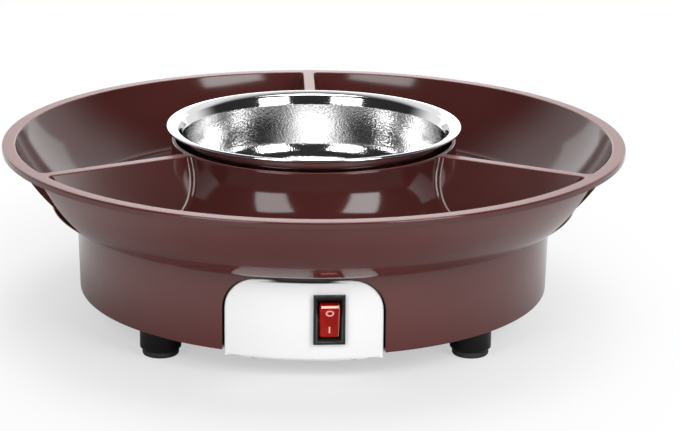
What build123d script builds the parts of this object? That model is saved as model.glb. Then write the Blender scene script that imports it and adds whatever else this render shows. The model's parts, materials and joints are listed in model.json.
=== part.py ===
from build123d import *
import math
import os

# Electric chocolate melter, in millimetres. +Z is up and the switch faces -Y.
# The origin is on the table, under the middle of the bowl.

# Overall size
rim_diameter = 273.0
rim_height = 78.0

# Mouldings: walls, and the gap between the housing and the tray that nests in it
wall = 1.8
tray_wall = 1.8
nest_gap = 0.5
edge_round = 0.8

# Flared wall of the housing: a long arc, then a tighter one that turns under. Angles are from the vertical.
flare_radius = 70.0
flare_top_angle = 24.0
flare_low_angle = 53.0
bulge_radius = 12.0
seam_step = 1.0
seam_round = 0.6

# Skirt of the housing
skirt_bottom = 12.0
skirt_draft = 0.8
skirt_round = 1.0

# Finger windows in the flared wall, left and right
window_half_angle = 32.5
window_bar = 2.0
window_sill = 3.5
window_corner = 2.5

# Tray: rim with a lip over the housing, dividers that widen downwards, collar round the bowl with a wide cove
rim_thickness = 2.0
lip_wall = 1.7
lip_gap = 0.4
lip_drop = 0.6
divider_count = 3
divider_width = 5.0
divider_draft = 20.0
divider_first_angle = 90.0
compartment_fillet = 3.0
collar_radius = 62.6
collar_cove = 24.0

# Bowl: flared lip with a beaded edge, a small step inside it, then the drafted wall
bowl_overhang = 2.2
bowl_collar_gap = 2.2
bowl_rise = 6.3
bowl_gauge = 0.7
bowl_bead = 0.8
bowl_lip_fall = 4.6
bowl_lip_angle = 65.0
bowl_step = 0.6
bowl_draft = 1.2
bowl_corner = 11.0

# Heating plate, its seal and its screws
plate_margin = 2.3
plate_rise = 3.3
plate_flange = 2.0
plate_flange_reach = 10.5
seal_thickness = 2.0
seal_lip = 2.5
seal_overlap = 2.0
seal_cap = 0.8
plate_screw_count = 4
plate_screw_inset = 4.0
boss_radius = 3.2

# Heating element, clamp, thermostat and thermal fuse under the plate
element_length = 52.0
element_width = 26.0
element_height = 6.5
strap_width = 12.0
strap_foot = 10.0
sheet = 1.0
sheet_bend = 1.6
thermostat_offset = 33.0
thermostat_radius = 8.0
thermostat_cap = 3.0
thermostat_height = 8.0
thermostat_screw_span = 24.0
thermostat_ear = 3.5
fuse_offset = 31.0
fuse_radius = 2.0
fuse_length = 11.0
fuse_ear = 11.0
tab_width = 4.8
tab_thickness = 0.8
tab_length = 8.0
element_tab_pitch = 12.0
thermostat_tab_reach = 14.0

# Bottom cover
cover_thickness = 2.0
cover_recess = 1.0
cover_gap = 0.5
post_radius = 4.0
post_inset = 17.7
post_angles = (15.0, 165.0, 195.0, 345.0)
vent_count = 12
vent_width = 3.0
vent_inner = 30.0
vent_outer = 46.0

# Feet: plastic leg with a rubber pad plugged into it
foot_radius = 8.75
foot_gap = 0.4
foot_chamfer = 1.0
foot_angles = (45.0, 135.0, 225.0, 315.0)
foot_web = 4.4
foot_boss_height = 6.5
pad_ring = 1.75
pad_height = 2.6
pad_round = 1.2
pad_plug = 3.0
pad_plug_gap = 0.1

# Control panel in the arch of the skirt. Turns are about the middle, seen from above.
panel_turn = -3.3
panel_half_width = 32.5
panel_thickness = 2.2
panel_recess = 1.6
panel_corner = 13.5
panel_gap = 0.9
panel_overhang = 2.4
arch_bridge = 1.6
panel_flange = 3.5
panel_flange_thickness = 2.0
panel_flange_gap = 0.4
panel_foot_half_width = 26.0
panel_screw_spacing = 40.0
panel_screw_inset = 6.0

# Rocker switch
switch_turn = 5.85
switch_height = 27.5
bezel_side = 1.1
bezel_end = 1.3
bezel_depth = 1.8
bezel_round = 0.5
switch_side_wall = 0.85
switch_end_wall = 0.8
switch_depth = 15.0
switch_gap = 0.2
latch_proud = 0.8
latch_length = 4.0
rocker_width = 8.3
rocker_length = 14.8
rocker_side_gap = 0.4
rocker_end_gap = 0.9
rocker_dish = 0.9
rocker_proud = 1.2
rocker_depth = 5.0
rocker_taper = 1.6
rocker_tilt = 13.0
rocker_wall = 1.2
rocker_round = 0.5
rocker_pocket_depth = 9.0
pivot_ahead = 0.4
pivot_radius = 0.8
pivot_play = 0.05
pivot_end_gap = 0.2
pin_length = 0.8
lamp_radius = 1.3
lamp_length = 8.0
terminal_count = 3
terminal_pitch = 6.0

# Cord gland at the back of the skirt
gland_height = 29.0
gland_bore = 3.4
gland_barrel = 6.0
gland_flange_radius = 9.0
gland_flange = 2.5
gland_pad_radius = 11.0
gland_pad_proud = 0.6
gland_pad_depth = 1.4
gland_play = 0.1
gland_length = 15.0
nut_across_flats = 16.0
nut_thickness = 4.0

# Terminal block on the bottom cover
block_back = 26.0
block_screw_head = 2.1
block_depth = 20.0
block_height = 8.0
block_pitch = 8.0
block_poles = 3
block_margin = 4.0
block_pad = 4.0
turret_radius = 3.0
turret_height = 4.0
turret_offset = 4.5
turret_bore = 1.6
wire_hole = 1.5
wire_hole_depth = 7.0

# Screws and inner leads
screw_radius = 1.25
screw_play = 0.1
screw_head = 2.7
screw_head_height = 1.8
screw_bite = 5.0
lead_radius = 1.0

# Heights and reaches that follow from the sizes above
rim_radius = rim_diameter / 2
housing_top = rim_height - rim_thickness
flare_top_radius = rim_radius - lip_wall - lip_gap
top_turn = math.radians(flare_top_angle)
low_turn = math.radians(flare_low_angle)
arc_reach = flare_top_radius - flare_radius * math.cos(top_turn)
arc_height = housing_top + flare_radius * math.sin(top_turn)
bulge_reach = arc_reach + (flare_radius - bulge_radius) * math.cos(low_turn)
bulge_height = arc_height - (flare_radius - bulge_radius) * math.sin(low_turn)
seam = bulge_height - bulge_radius
deck_top = seam + wall
skirt_radius = bulge_reach - seam_step
skirt_low_radius = skirt_radius - skirt_draft
skirt_inner = skirt_low_radius - wall
tray_bottom = deck_top + nest_gap
tray_floor = tray_bottom + tray_wall
collar_inner = collar_radius - tray_wall
cove_reach = collar_radius + collar_cove
cove_height = tray_floor + collar_cove
bowl_radius = collar_radius + bowl_overhang
bowl_throat = collar_inner - bowl_collar_gap
plate_radius = bowl_throat - bowl_step - bowl_draft - bowl_corner - plate_margin
plate_top = deck_top + plate_rise
flange_top = seam - seal_thickness
plate_under = flange_top - plate_flange
deck_hole = plate_radius + seal_lip
plate_flange_radius = plate_radius + plate_flange_reach
plate_screw_circle = plate_flange_radius - plate_screw_inset
bowl_top = rim_height + bowl_rise
bowl_floor = plate_top + bowl_gauge
cover_under = skirt_bottom + cover_recess
cover_top = cover_under + cover_thickness
cover_radius = skirt_inner - cover_gap
post_circle = skirt_inner - post_inset
foot_circle = skirt_inner - foot_gap - foot_radius
pad_radius = foot_radius - foot_chamfer
foot_recess = pad_radius - pad_ring
foot_web_under = cover_under - foot_web
arch_top = seam - arch_bridge
panel_top = arch_top - panel_gap
panel_bottom = skirt_bottom - panel_overhang
panel_radius = skirt_radius - panel_recess
panel_inner = panel_radius - panel_thickness
flange_outer = skirt_inner - panel_flange_gap
flange_inner = flange_outer - panel_flange_thickness
panel_depth = panel_radius - flange_inner
panel_screw_radius = flange_inner - panel_screw_inset
pivot_y = -panel_radius - pivot_ahead
switch_width = rocker_width + 2 * (rocker_side_gap + switch_side_wall)
switch_tall = rocker_length + 2 * (rocker_end_gap + switch_end_wall)
bezel_width = switch_width + 2 * bezel_side
bezel_height = switch_tall + 2 * bezel_end
rocker_face = -(bezel_depth + rocker_proud - pivot_ahead)
rocker_hollow = rocker_face + rocker_dish + rocker_wall
pin_reach = rocker_width / 2 + rocker_side_gap + pin_length
block_front = skirt_inner - block_back - block_depth
wire_height = cover_top + block_pad + block_height / 2
pilot_radius = screw_radius + screw_play


def polar(radius, angle):
    """A point on a circle about the Z axis, with the angle from +X in degrees."""
    return radius * math.cos(math.radians(angle)), radius * math.sin(math.radians(angle))


def disc(radius, low, high, x=0.0, y=0.0):
    """An upright cylinder between two heights."""
    return Pos(x, y, (low + high) / 2) * Cylinder(radius, high - low)


def rod(radius, start, end):
    """A round rod between two points."""
    plane = Plane(start, z_dir=Vector(*end) - Vector(*start))
    return extrude(plane * Circle(radius), (Vector(*end) - Vector(*start)).length)


def block(x, y, z):
    """A box from the low and high ends along each axis."""
    middle = Pos(sum(x) / 2, sum(y) / 2, sum(z) / 2)
    return middle * Box(x[1] - x[0], y[1] - y[0], z[1] - z[0])


def turned(edges, rounds=()):
    """A solid turned about Z from a profile in radius and height, with some of its corners rounded."""
    profile = Sketch() + make_face(edges)
    for corner, radius in rounds:
        profile = fillet(profile.vertices().sort_by_distance((*corner, 0))[0], radius)
    return revolve(Plane.XZ * profile, Axis.Z)


def bent_strip(points, width):
    """A strip of sheet metal bent along points in Y and Z, centred on X."""
    path = FilletPolyline(*points, radius=sheet_bend)
    section = make_face(path.wire().offset_2d(sheet / 2, side=Side.BOTH).edges())
    return extrude(Plane.YZ * section, width / 2, both=True)


def flare_arcs(inset, top):
    """The two arcs of the flared wall, moved inwards by inset and cut off at the height top."""
    top_angle = math.degrees(math.asin((arc_height - top) / (flare_radius - inset)))
    low = flare_low_angle
    main = CenterArc((arc_reach, arc_height), flare_radius - inset, -top_angle, top_angle - low)
    bulge = CenterArc((bulge_reach, bulge_height), bulge_radius - inset, -low, low - 90)
    return main, bulge


def arch(half_width, top, corner, low, near, far):
    """A prism with rounded upper corners that runs forwards from near to far."""
    outline = Pos(0, (low + top) / 2) * Rectangle(2 * half_width, top - low)
    outline = fillet(outline.vertices().group_by(Axis.Y)[-1], corner)
    return Pos(0, -near, 0) * extrude(Plane.XZ * outline, far - near)


def screw_up(x, y, seat, length):
    """A pan-head screw driven upwards, with its head under the height seat."""
    head = disc(screw_head, seat - screw_head_height, seat, x, y)
    head = fillet(head.edges().group_by(Axis.Z)[0], screw_head_height / 2)
    return head + disc(screw_radius, seat, seat + length, x, y)


def screws_up(places, seat, length):
    """A group of equal screws."""
    return [screw_up(x, y, seat, length) for x, y in places]


def plate_screw_places():
    """Centres of the screws round the heating plate."""
    return [polar(plate_screw_circle, 360 / plate_screw_count * (i + 0.5)) for i in range(plate_screw_count)]


def post_places():
    """Centres of the posts that carry the bottom cover."""
    return [polar(post_circle, angle) for angle in post_angles]


def foot_places():
    """Centres of the feet."""
    return [polar(foot_circle, angle) for angle in foot_angles]


def strap_screw_places():
    """Centres of the two screws of the element's clamp."""
    reach = element_width / 2 + sheet + strap_foot / 2
    return [(0, -reach), (0, reach)]


def thermostat_screw_places():
    """Centres of the two screws of the thermostat."""
    return [(side * thermostat_screw_span / 2, thermostat_offset) for side in (-1, 1)]


def fuse_screw_place():
    """Centre of the screw of the fuse's clip."""
    return 0, -fuse_offset - fuse_ear + screw_head


def panel_screw_places():
    """Centres of the panel's screws, in the panel's own frame."""
    return [(side * panel_screw_spacing / 2, -panel_screw_radius) for side in (-1, 1)]


def block_screw_places():
    """Centres of the terminal block's screws, between its poles."""
    middle = block_front + block_depth / 2
    return [(side * block_pitch / 2, middle) for side in (-1, 1)]


def finger_window():
    """The cutter for one finger window, towards +X."""
    spread = math.tan(math.radians(window_half_angle))
    near, far = collar_radius, rim_radius
    corners = ((near, -near * spread), (far, -far * spread), (far, far * spread), (near, near * spread))
    plan = make_face(Polyline(*corners, close=True))
    low, high = deck_top + window_sill, housing_top - window_bar
    cutter = Pos(0, 0, low) * extrude(plan, high - low)
    sloping = [e for e in cutter.edges() if abs((e % 0.5).X) > 0.1]
    return fillet(sloping, window_corner)


def housing():
    """Flared wall, deck and skirt in one moulding, with posts and bosses under the deck."""
    outer, outer_bulge = flare_arcs(0, housing_top)
    inner, inner_bulge = flare_arcs(wall, housing_top)
    lower = Polyline(
        outer_bulge @ 1,
        (skirt_radius, seam),
        (skirt_low_radius, skirt_bottom),
        (skirt_inner, skirt_bottom),
        (skirt_radius - wall, seam),
        (deck_hole, seam),
        (deck_hole, deck_top),
        inner_bulge @ 1,
    )
    rounds = [((skirt_radius, seam), seam_round), ((skirt_low_radius, skirt_bottom), skirt_round)]
    body = turned([outer, outer_bulge, lower, inner_bulge, inner, Line(inner @ 0, outer @ 0)], rounds)
    for x, y in post_places():
        body += disc(post_radius, cover_top, seam, x, y)
        body -= disc(pilot_radius, cover_top, cover_top + 2 * screw_bite, x, y)
    for x, y in plate_screw_places():
        body += disc(boss_radius, flange_top, seam, x, y)
        body -= disc(pilot_radius, flange_top, seam + wall / 2, x, y)
    for turn in (0, 180):
        body -= Rot(0, 0, turn) * finger_window()
    half, corner = panel_half_width + panel_gap, panel_corner + panel_gap
    body -= Rot(0, 0, panel_turn) * arch(half, arch_top, corner, 0, plate_flange_radius, rim_radius)
    pad_inner, pad_outer = skirt_inner - gland_pad_depth, skirt_radius + gland_pad_proud
    body += rod(gland_pad_radius, (0, pad_inner, gland_height), (0, pad_outer, gland_height))
    hole = gland_barrel + gland_play
    return body - rod(hole, (0, plate_flange_radius, gland_height), (0, rim_radius, gland_height))


def trough(low):
    """The turned hollow of the compartments, before the dividers part it, with its flat floor sunk to low."""
    top = rim_height + tray_wall
    main, bulge = flare_arcs(wall + nest_gap + tray_wall, top)
    cove = CenterArc((cove_reach, cove_height), collar_cove, -90, -90)
    close = Polyline(cove @ 1, (collar_radius, top), main @ 0)
    hollow = turned([main, bulge, Line(bulge @ 1, cove @ 0), cove, close])
    if low < tray_floor:
        hollow += disc(bulge_reach, low, tray_floor) - disc(cove_reach, low, tray_floor)
    return hollow


def divider_angles():
    """Directions of the dividers."""
    return [divider_first_angle + 360 / divider_count * i for i in range(divider_count)]


def ridge(width, top):
    """A ridge towards +X that has its width at the rim's height and widens downwards from the height top."""
    spread = math.tan(math.radians(divider_draft))
    low = tray_bottom - tray_wall
    half_low, half_top = (width / 2 + (rim_height - z) * spread for z in (low, top))
    section = Polyline((-half_low, low), (half_low, low), (half_top, top), (-half_top, top), close=True)
    return extrude(Plane.YZ * make_face(section), rim_radius)


def compartments():
    """The hollows between the dividers, rounded along the dividers."""
    hollow = trough(tray_floor)
    for angle in divider_angles():
        hollow -= Rot(0, 0, angle) * ridge(divider_width, rim_height + 2 * tray_wall)
    top = hollow.edges().group_by(Axis.Z)[-1]
    sides = [f for f in hollow.faces() if f.geom_type == GeomType.PLANE and abs(f.normal_at().Z) < 0.9]
    return fillet([e for f in sides for e in f.edges() if e not in top], compartment_fillet)


def serving_tray():
    """Lift-out ring with three compartments, hollow dividers and a lipped rim."""
    outer, outer_bulge = flare_arcs(wall + nest_gap, housing_top)
    lip_inner = flare_top_radius + lip_gap
    cove = CenterArc((cove_reach, cove_height), collar_cove + tray_wall, 180, 90)
    rim = Polyline(
        outer @ 0,
        (lip_inner, housing_top),
        (lip_inner, housing_top - lip_drop),
        (rim_radius, housing_top - lip_drop),
        (rim_radius, rim_height),
        (collar_inner, rim_height),
        cove @ 0,
    )
    tray = turned([outer, outer_bulge, Line(outer_bulge @ 1, cove @ 1), cove, rim]) - compartments()
    tray = fillet(tray.edges().group_by(Axis.Z)[-1], edge_round)
    core_width = divider_width - 2 * tray_wall / math.cos(math.radians(divider_draft))
    core = trough(tray_bottom)
    for angle in divider_angles():
        tray -= core & (Rot(0, 0, angle) * ridge(core_width, rim_height - tray_wall))
    return tray


def melting_bowl():
    """Sheet bowl with a flared lip, a beaded edge and a step inside the lip."""
    bead = (bowl_radius - bowl_bead, bowl_top - bowl_bead)
    crease = (bowl_throat, bowl_top - bowl_lip_fall)
    wall_top = (bowl_throat - bowl_step, crease[1] - bowl_step)
    rising = (math.cos(math.radians(bowl_lip_angle)), math.sin(math.radians(bowl_lip_angle)))
    lip = TangentArc(crease, bead, tangent=rising)
    corner = (wall_top[0] - bowl_draft, bowl_floor)
    inside = FilletPolyline(wall_top, corner, (0, bowl_floor), radius=bowl_corner)
    path = Wire([lip, Line(crease, wall_top), *inside.edges()])
    skin = turned(path.offset_2d(bowl_gauge, side=Side.RIGHT).edges())
    return skin + revolve(Plane.XZ * Pos(*bead) * Circle(bowl_bead), Axis.Z)


def heating_plate():
    """Aluminium plate that stands through the deck, flanged under it."""
    plate = disc(plate_radius, plate_under, plate_top) + disc(plate_flange_radius, plate_under, flange_top)
    plate = fillet(plate.edges().group_by(Axis.Z)[-1], edge_round)
    for x, y in plate_screw_places():
        plate -= disc(pilot_radius, plate_under, flange_top, x, y)
    for x, y in strap_screw_places() + thermostat_screw_places() + [fuse_screw_place()]:
        plate -= disc(pilot_radius, plate_under, plate_under + screw_bite, x, y)
    return plate


def plate_seal():
    """Silicone seal between the plate and the deck."""
    seal = turned([Polyline(
        (plate_radius, flange_top),
        (plate_flange_radius, flange_top),
        (plate_flange_radius, seam),
        (deck_hole, seam),
        (deck_hole, deck_top),
        (deck_hole + seal_overlap, deck_top),
        (deck_hole + seal_overlap - seal_cap, deck_top + seal_cap),
        (plate_radius, deck_top + seal_cap),
        close=True,
    )])
    for x, y in plate_screw_places():
        seal -= disc(boss_radius, flange_top, seam, x, y)
    return seal


def heating_element():
    """Metal-cased heating element held flat under the plate."""
    half_length, half_width = element_length / 2, element_width / 2
    low = plate_under - element_height
    case = block((-half_length, half_length), (-half_width, half_width), (low, plate_under))
    return fillet(case.edges().filter_by(Axis.X), sheet_bend)


def element_clamp():
    """Spring-steel strap across the element."""
    side = element_width / 2 + sheet / 2
    foot, low = plate_under - sheet / 2, plate_under - element_height - sheet / 2
    tip = side + strap_foot
    path = [(-tip, foot), (-side, foot), (-side, low), (side, low), (side, foot), (tip, foot)]
    strap = bent_strip(path, strap_width)
    for x, y in strap_screw_places():
        strap -= disc(pilot_radius, low, plate_under, x, y)
    return strap


def thermostat():
    """Round snap-action thermostat on its two-eared bracket."""
    low = plate_under - thermostat_height
    cap = disc(thermostat_radius, plate_under - thermostat_cap, plate_under, 0, thermostat_offset)
    body = disc(thermostat_radius - edge_round, low, plate_under, 0, thermostat_offset)
    ears = SlotCenterToCenter(thermostat_screw_span, 2 * thermostat_ear)
    bracket = Pos(0, thermostat_offset, plate_under - sheet) * extrude(ears, sheet)
    unit = cap + body + bracket
    for x, y in thermostat_screw_places():
        unit -= disc(pilot_radius, plate_under - sheet, plate_under, x, y)
    return unit


def thermal_fuse():
    """One-shot thermal fuse lying against the plate."""
    middle = plate_under - fuse_radius
    ends = [(side * fuse_length / 2, -fuse_offset, middle) for side in (-1, 1)]
    return rod(fuse_radius, *ends)


def fuse_clip():
    """Clip that holds the fuse to the plate."""
    side = fuse_radius + sheet / 2
    foot, low = plate_under - sheet / 2, plate_under - 2 * fuse_radius - sheet / 2
    path = [
        (-fuse_offset - fuse_ear - sheet, foot),
        (-fuse_offset - side, foot),
        (-fuse_offset - side, low),
        (-fuse_offset + side, low),
        (-fuse_offset + side, plate_under - sheet),
    ]
    x, y = fuse_screw_place()
    return bent_strip(path, fuse_length / 2) - disc(pilot_radius, low, plate_under, x, y)


def heater_terminals():
    """Push-on tabs of the element and of the thermostat."""
    tabs = []
    level = plate_under - element_height / 2
    thick = (level - tab_thickness / 2, level + tab_thickness / 2)
    for side in (-1, 1):
        middle = side * element_tab_pitch / 2
        across = (middle - tab_width / 2, middle + tab_width / 2)
        tabs.append(block((element_length / 2, element_length / 2 + tab_length), across, thick))
    level = plate_under - thermostat_height
    across = (thermostat_offset - tab_width / 2, thermostat_offset + tab_width / 2)
    for side in (-1, 1):
        ends = sorted((side * tab_thickness, side * thermostat_tab_reach))
        tabs.append(block(ends, across, (level - tab_thickness, level)))
    return tabs


def bottom_cover():
    """Flat cover inside the skirt, with vents, foot bosses and the terminal block's pad."""
    cover = disc(cover_radius, cover_under, cover_top)
    for x, y in foot_places():
        cover += disc(boss_radius, cover_top, cover_top + foot_boss_height, x, y)
        cover -= disc(pilot_radius, cover_under, cover_top + foot_boss_height, x, y)
    for x, y in post_places():
        cover -= disc(pilot_radius, cover_under, cover_top, x, y)
    half_block = block_poles * block_pitch / 2 + block_margin
    pad_top = cover_top + block_pad
    cover += block((-half_block, half_block), (block_front, block_front + block_depth), (cover_top, pad_top))
    for x, y in block_screw_places():
        cover -= disc(pilot_radius, cover_under, pad_top, x, y)
    vent = Pos((vent_inner + vent_outer) / 2, 0) * SlotOverall(vent_outer - vent_inner, vent_width)
    cutter = Pos(0, 0, cover_under) * extrude(vent, cover_thickness)
    for i in range(vent_count):
        cover -= Rot(0, 0, 360 / vent_count * (i + 0.5)) * cutter
    notch = disc(rim_radius, cover_under, cover_top) - disc(flange_inner - cover_gap, cover_under, cover_top)
    reach = panel_half_width + panel_flange + cover_gap
    notch &= block((-reach, reach), (-rim_radius, 0), (cover_under, cover_top))
    place = Rot(0, 0, panel_turn)
    cover -= place * notch
    for x, y in panel_screw_places():
        cover += place * disc(boss_radius, cover_top, cover_top + screw_bite, x, y)
        cover -= place * disc(pilot_radius, cover_under, cover_top + screw_bite, x, y)
    return cover


def control_panel():
    """White panel that fills the arch, with a flange behind the skirt and a foot under the cover."""
    face = disc(panel_radius, panel_bottom, panel_top) - disc(panel_inner, panel_bottom, panel_top)
    face &= arch(panel_half_width, panel_top, panel_corner, panel_bottom, 0, rim_radius)
    flange = disc(flange_outer, skirt_bottom, seam) - disc(flange_inner, skirt_bottom, seam)
    flange_top_edge = panel_top + panel_gap + panel_thickness / 2
    half = panel_half_width + panel_flange
    flange &= arch(half, flange_top_edge, panel_corner + panel_flange, skirt_bottom, 0, rim_radius)
    foot_inner = panel_screw_radius - panel_screw_inset
    foot = disc(panel_inner, panel_bottom, panel_bottom + panel_thickness)
    foot -= disc(foot_inner, panel_bottom, panel_bottom + panel_thickness)
    width = (-panel_foot_half_width, panel_foot_half_width)
    foot &= block(width, (-rim_radius, 0), (panel_bottom, panel_bottom + panel_thickness))
    panel = face + flange + foot
    for x, y in panel_screw_places():
        panel += disc(boss_radius, panel_bottom, cover_under, x, y)
        panel -= disc(pilot_radius, panel_bottom, cover_under, x, y)
    across = switch_width / 2 + switch_gap
    tall = switch_tall / 2 + switch_gap
    hole = block((-across, across), (-rim_radius, 0), (switch_height - tall, switch_height + tall))
    return Rot(0, 0, panel_turn) * (panel - Rot(0, 0, switch_turn) * hole)


def at_switch(shape):
    """Turn a shape from straight ahead to the switch's place on the panel."""
    return Rot(0, 0, panel_turn + switch_turn) * shape


def switch_body():
    """Snap-in switch body: bezel, box, latches and the pocket for the rocker."""
    front = -panel_radius
    middle = switch_height
    half_bezel = bezel_height / 2
    bezel = block(
        (-bezel_width / 2, bezel_width / 2),
        (front - bezel_depth, front),
        (middle - half_bezel, middle + half_bezel),
    )
    bezel = fillet(bezel.faces().sort_by(Axis.Y)[0].edges(), bezel_round)
    half_tall = switch_tall / 2
    box = block(
        (-switch_width / 2, switch_width / 2),
        (front - bezel_depth / 2, front + switch_depth),
        (middle - half_tall, middle + half_tall),
    )
    latch_front = front + panel_depth + switch_gap
    ramp = Polyline(
        (latch_front, half_tall),
        (latch_front, half_tall + latch_proud),
        (latch_front + latch_length, half_tall),
        close=True,
    )
    latch = extrude(Plane.YZ * make_face(ramp), rocker_width / 4, both=True)
    latches = Pos(0, 0, middle) * (latch + mirror(latch, Plane.XY))
    half_slot = rocker_width / 2 + rocker_side_gap
    tall_slot = rocker_length / 2 + rocker_end_gap
    pocket = block(
        (-half_slot, half_slot),
        (front - bezel_depth, front + rocker_pocket_depth),
        (middle - tall_slot, middle + tall_slot),
    )
    hole_reach = pin_reach + pivot_end_gap
    bearing = rod(pivot_radius + pivot_play, (-hole_reach, pivot_y, middle), (hole_reach, pivot_y, middle))
    return at_switch(bezel + box + latches - pocket - bearing)


def rocker_at_rest(shape):
    """Tilt a rocker shape from level to its on position, and bring it to the switch."""
    pivot = Pos(0, pivot_y, switch_height)
    return at_switch(pivot * Rot(rocker_tilt, 0, 0) * shape)


def rocker():
    """Dished rocker, hollow behind for the lamp, on two stub pins."""
    half = rocker_length / 2
    narrow = half - rocker_taper
    dish = ThreePointArc((rocker_face, -half), (rocker_face + rocker_dish, 0), (rocker_face, half))
    back = ((rocker_depth, narrow), (rocker_depth, -narrow))
    behind = Polyline(dish @ 1, (0, half), *back, (0, -half), dish @ 0)
    body = extrude(Plane.YZ * make_face([dish, *behind.edges()]), rocker_width / 2, both=True)
    rims = [e for e in body.edges() if e.bounding_box().max.Y < rocker_face + rocker_dish + rocker_round]
    body = fillet(rims, rocker_round)
    inner_half = rocker_width / 2 - rocker_wall
    inner_tall = narrow - rocker_wall
    hollow = block((-inner_half, inner_half), (rocker_hollow, rocker_depth), (-inner_tall, inner_tall))
    pins = rod(pivot_radius, (-pin_reach, 0, 0), (pin_reach, 0, 0))
    pins -= block((-inner_half, inner_half), (-half, half), (-half, half))
    return rocker_at_rest(body - hollow + pins)


def switch_lamp():
    """Neon lamp that lies in the hollow of the rocker."""
    middle = rocker_hollow + lamp_radius
    lamp = rod(lamp_radius, (0, middle, -lamp_length / 2), (0, middle, lamp_length / 2))
    return rocker_at_rest(fillet(lamp.edges().filter_by(GeomType.CIRCLE), lamp_radius / 2))


def switch_terminals():
    """Tabs at the back of the switch, from the top one down."""
    rear = switch_depth - panel_radius
    tabs = []
    for i in range(terminal_count):
        level = switch_height + terminal_pitch * ((terminal_count - 1) / 2 - i)
        thick = (level - tab_thickness / 2, level + tab_thickness / 2)
        tabs.append(at_switch(block((-tab_width / 2, tab_width / 2), (rear, rear + tab_length), thick)))
    return tabs


def behind_switch_tab(index, distance):
    """A point straight behind a switch tab's end, where its lead starts."""
    level = switch_height + terminal_pitch * ((terminal_count - 1) / 2 - index)
    place = at_switch(Pos(0, switch_depth + tab_length - panel_radius + distance, level))
    return tuple(place.position)


def foot_leg(x, y):
    """Black plastic leg, hollow below for the pad's plug and the screw's head."""
    leg = disc(foot_radius, pad_height, cover_under, x, y)
    leg = chamfer(leg.edges().group_by(Axis.Z)[0], foot_chamfer)
    leg -= disc(foot_recess, pad_height, foot_web_under, x, y)
    return leg - disc(pilot_radius, foot_web_under, cover_under, x, y)


def foot_pad(x, y):
    """Rubber pad with a plug that fits the leg."""
    pad = disc(pad_radius, 0, pad_height, x, y)
    pad = fillet(pad.edges().group_by(Axis.Z)[0], pad_round)
    return pad + disc(foot_recess - pad_plug_gap, pad_height, pad_height + pad_plug, x, y)


def cord_gland():
    """Open cord gland through the back of the skirt."""
    seat = skirt_radius + gland_pad_proud
    flange = rod(gland_flange_radius, (0, seat, gland_height), (0, seat + gland_flange, gland_height))
    flange = fillet(flange.edges().group_by(Axis.Y)[-1], edge_round)
    barrel = rod(gland_barrel, (0, seat - gland_length, gland_height), (0, seat, gland_height))
    bore = rod(gland_bore, (0, seat - gland_length, gland_height), (0, seat + gland_flange, gland_height))
    return flange + barrel - bore


def gland_nut():
    """Hexagon nut on the gland's barrel, inside the skirt."""
    seat = skirt_inner - gland_pad_depth
    hexagon = RegularPolygon(nut_across_flats / 2, 6, major_radius=False)
    outline = hexagon - Circle(gland_barrel + gland_play)
    return Pos(0, seat, gland_height) * extrude(Plane.XZ * outline, nut_thickness)


def terminal_block():
    """Block with a screw turret at both ends of each pole and blind wire holes."""
    half = block_poles * block_pitch / 2
    low = cover_top + block_pad
    high = low + block_height
    back = block_front + block_depth
    body = block((-half, half), (block_front, back), (low, high))
    middle = (block_front + back) / 2
    for i in range(block_poles):
        x = block_pitch * (i - (block_poles - 1) / 2)
        for end, side in ((block_front, 1), (back, -1)):
            y = middle - side * turret_offset
            body += disc(turret_radius, high, high + turret_height, x, y)
            body -= disc(turret_bore, high, high + turret_height, x, y)
            body -= rod(wire_hole, (x, end, wire_height), (x, end + side * wire_hole_depth, wire_height))
    for x, y in block_screw_places():
        body -= disc(pilot_radius, low, high, x, y)
    return body


def terminal_block_screws():
    """Screws driven down through the block into its pad."""
    top = cover_top + block_pad + block_height
    screws = []
    for x, y in block_screw_places():
        head = disc(block_screw_head, top, top + screw_head_height, x, y)
        screws.append(head + disc(screw_radius, cover_top, top, x, y))
    return screws


def lead(points):
    """An insulated lead along runs joined by arcs as large as the runs allow."""
    spots = [Vector(*p) for p in points]
    radii = []
    for before, here, after in zip(spots, spots[1:], spots[2:]):
        turn = (here - before).get_angle(after - here)
        shorter = min((here - before).length, (after - here).length)
        radii.append(0.45 * shorter / math.tan(math.radians(turn / 2)))
    path = FilletPolyline(*spots, radius=radii)
    tube = sweep(Plane(path @ 0, z_dir=path % 0) * Circle(lead_radius), path)
    filled = tube.volume / (math.pi * lead_radius ** 2 * path.length)
    print(f"lead: {path.length:.0f} mm long, tightest bend {min(radii):.1f} mm, volume ratio {filled:.3f}")
    return tube


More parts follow.
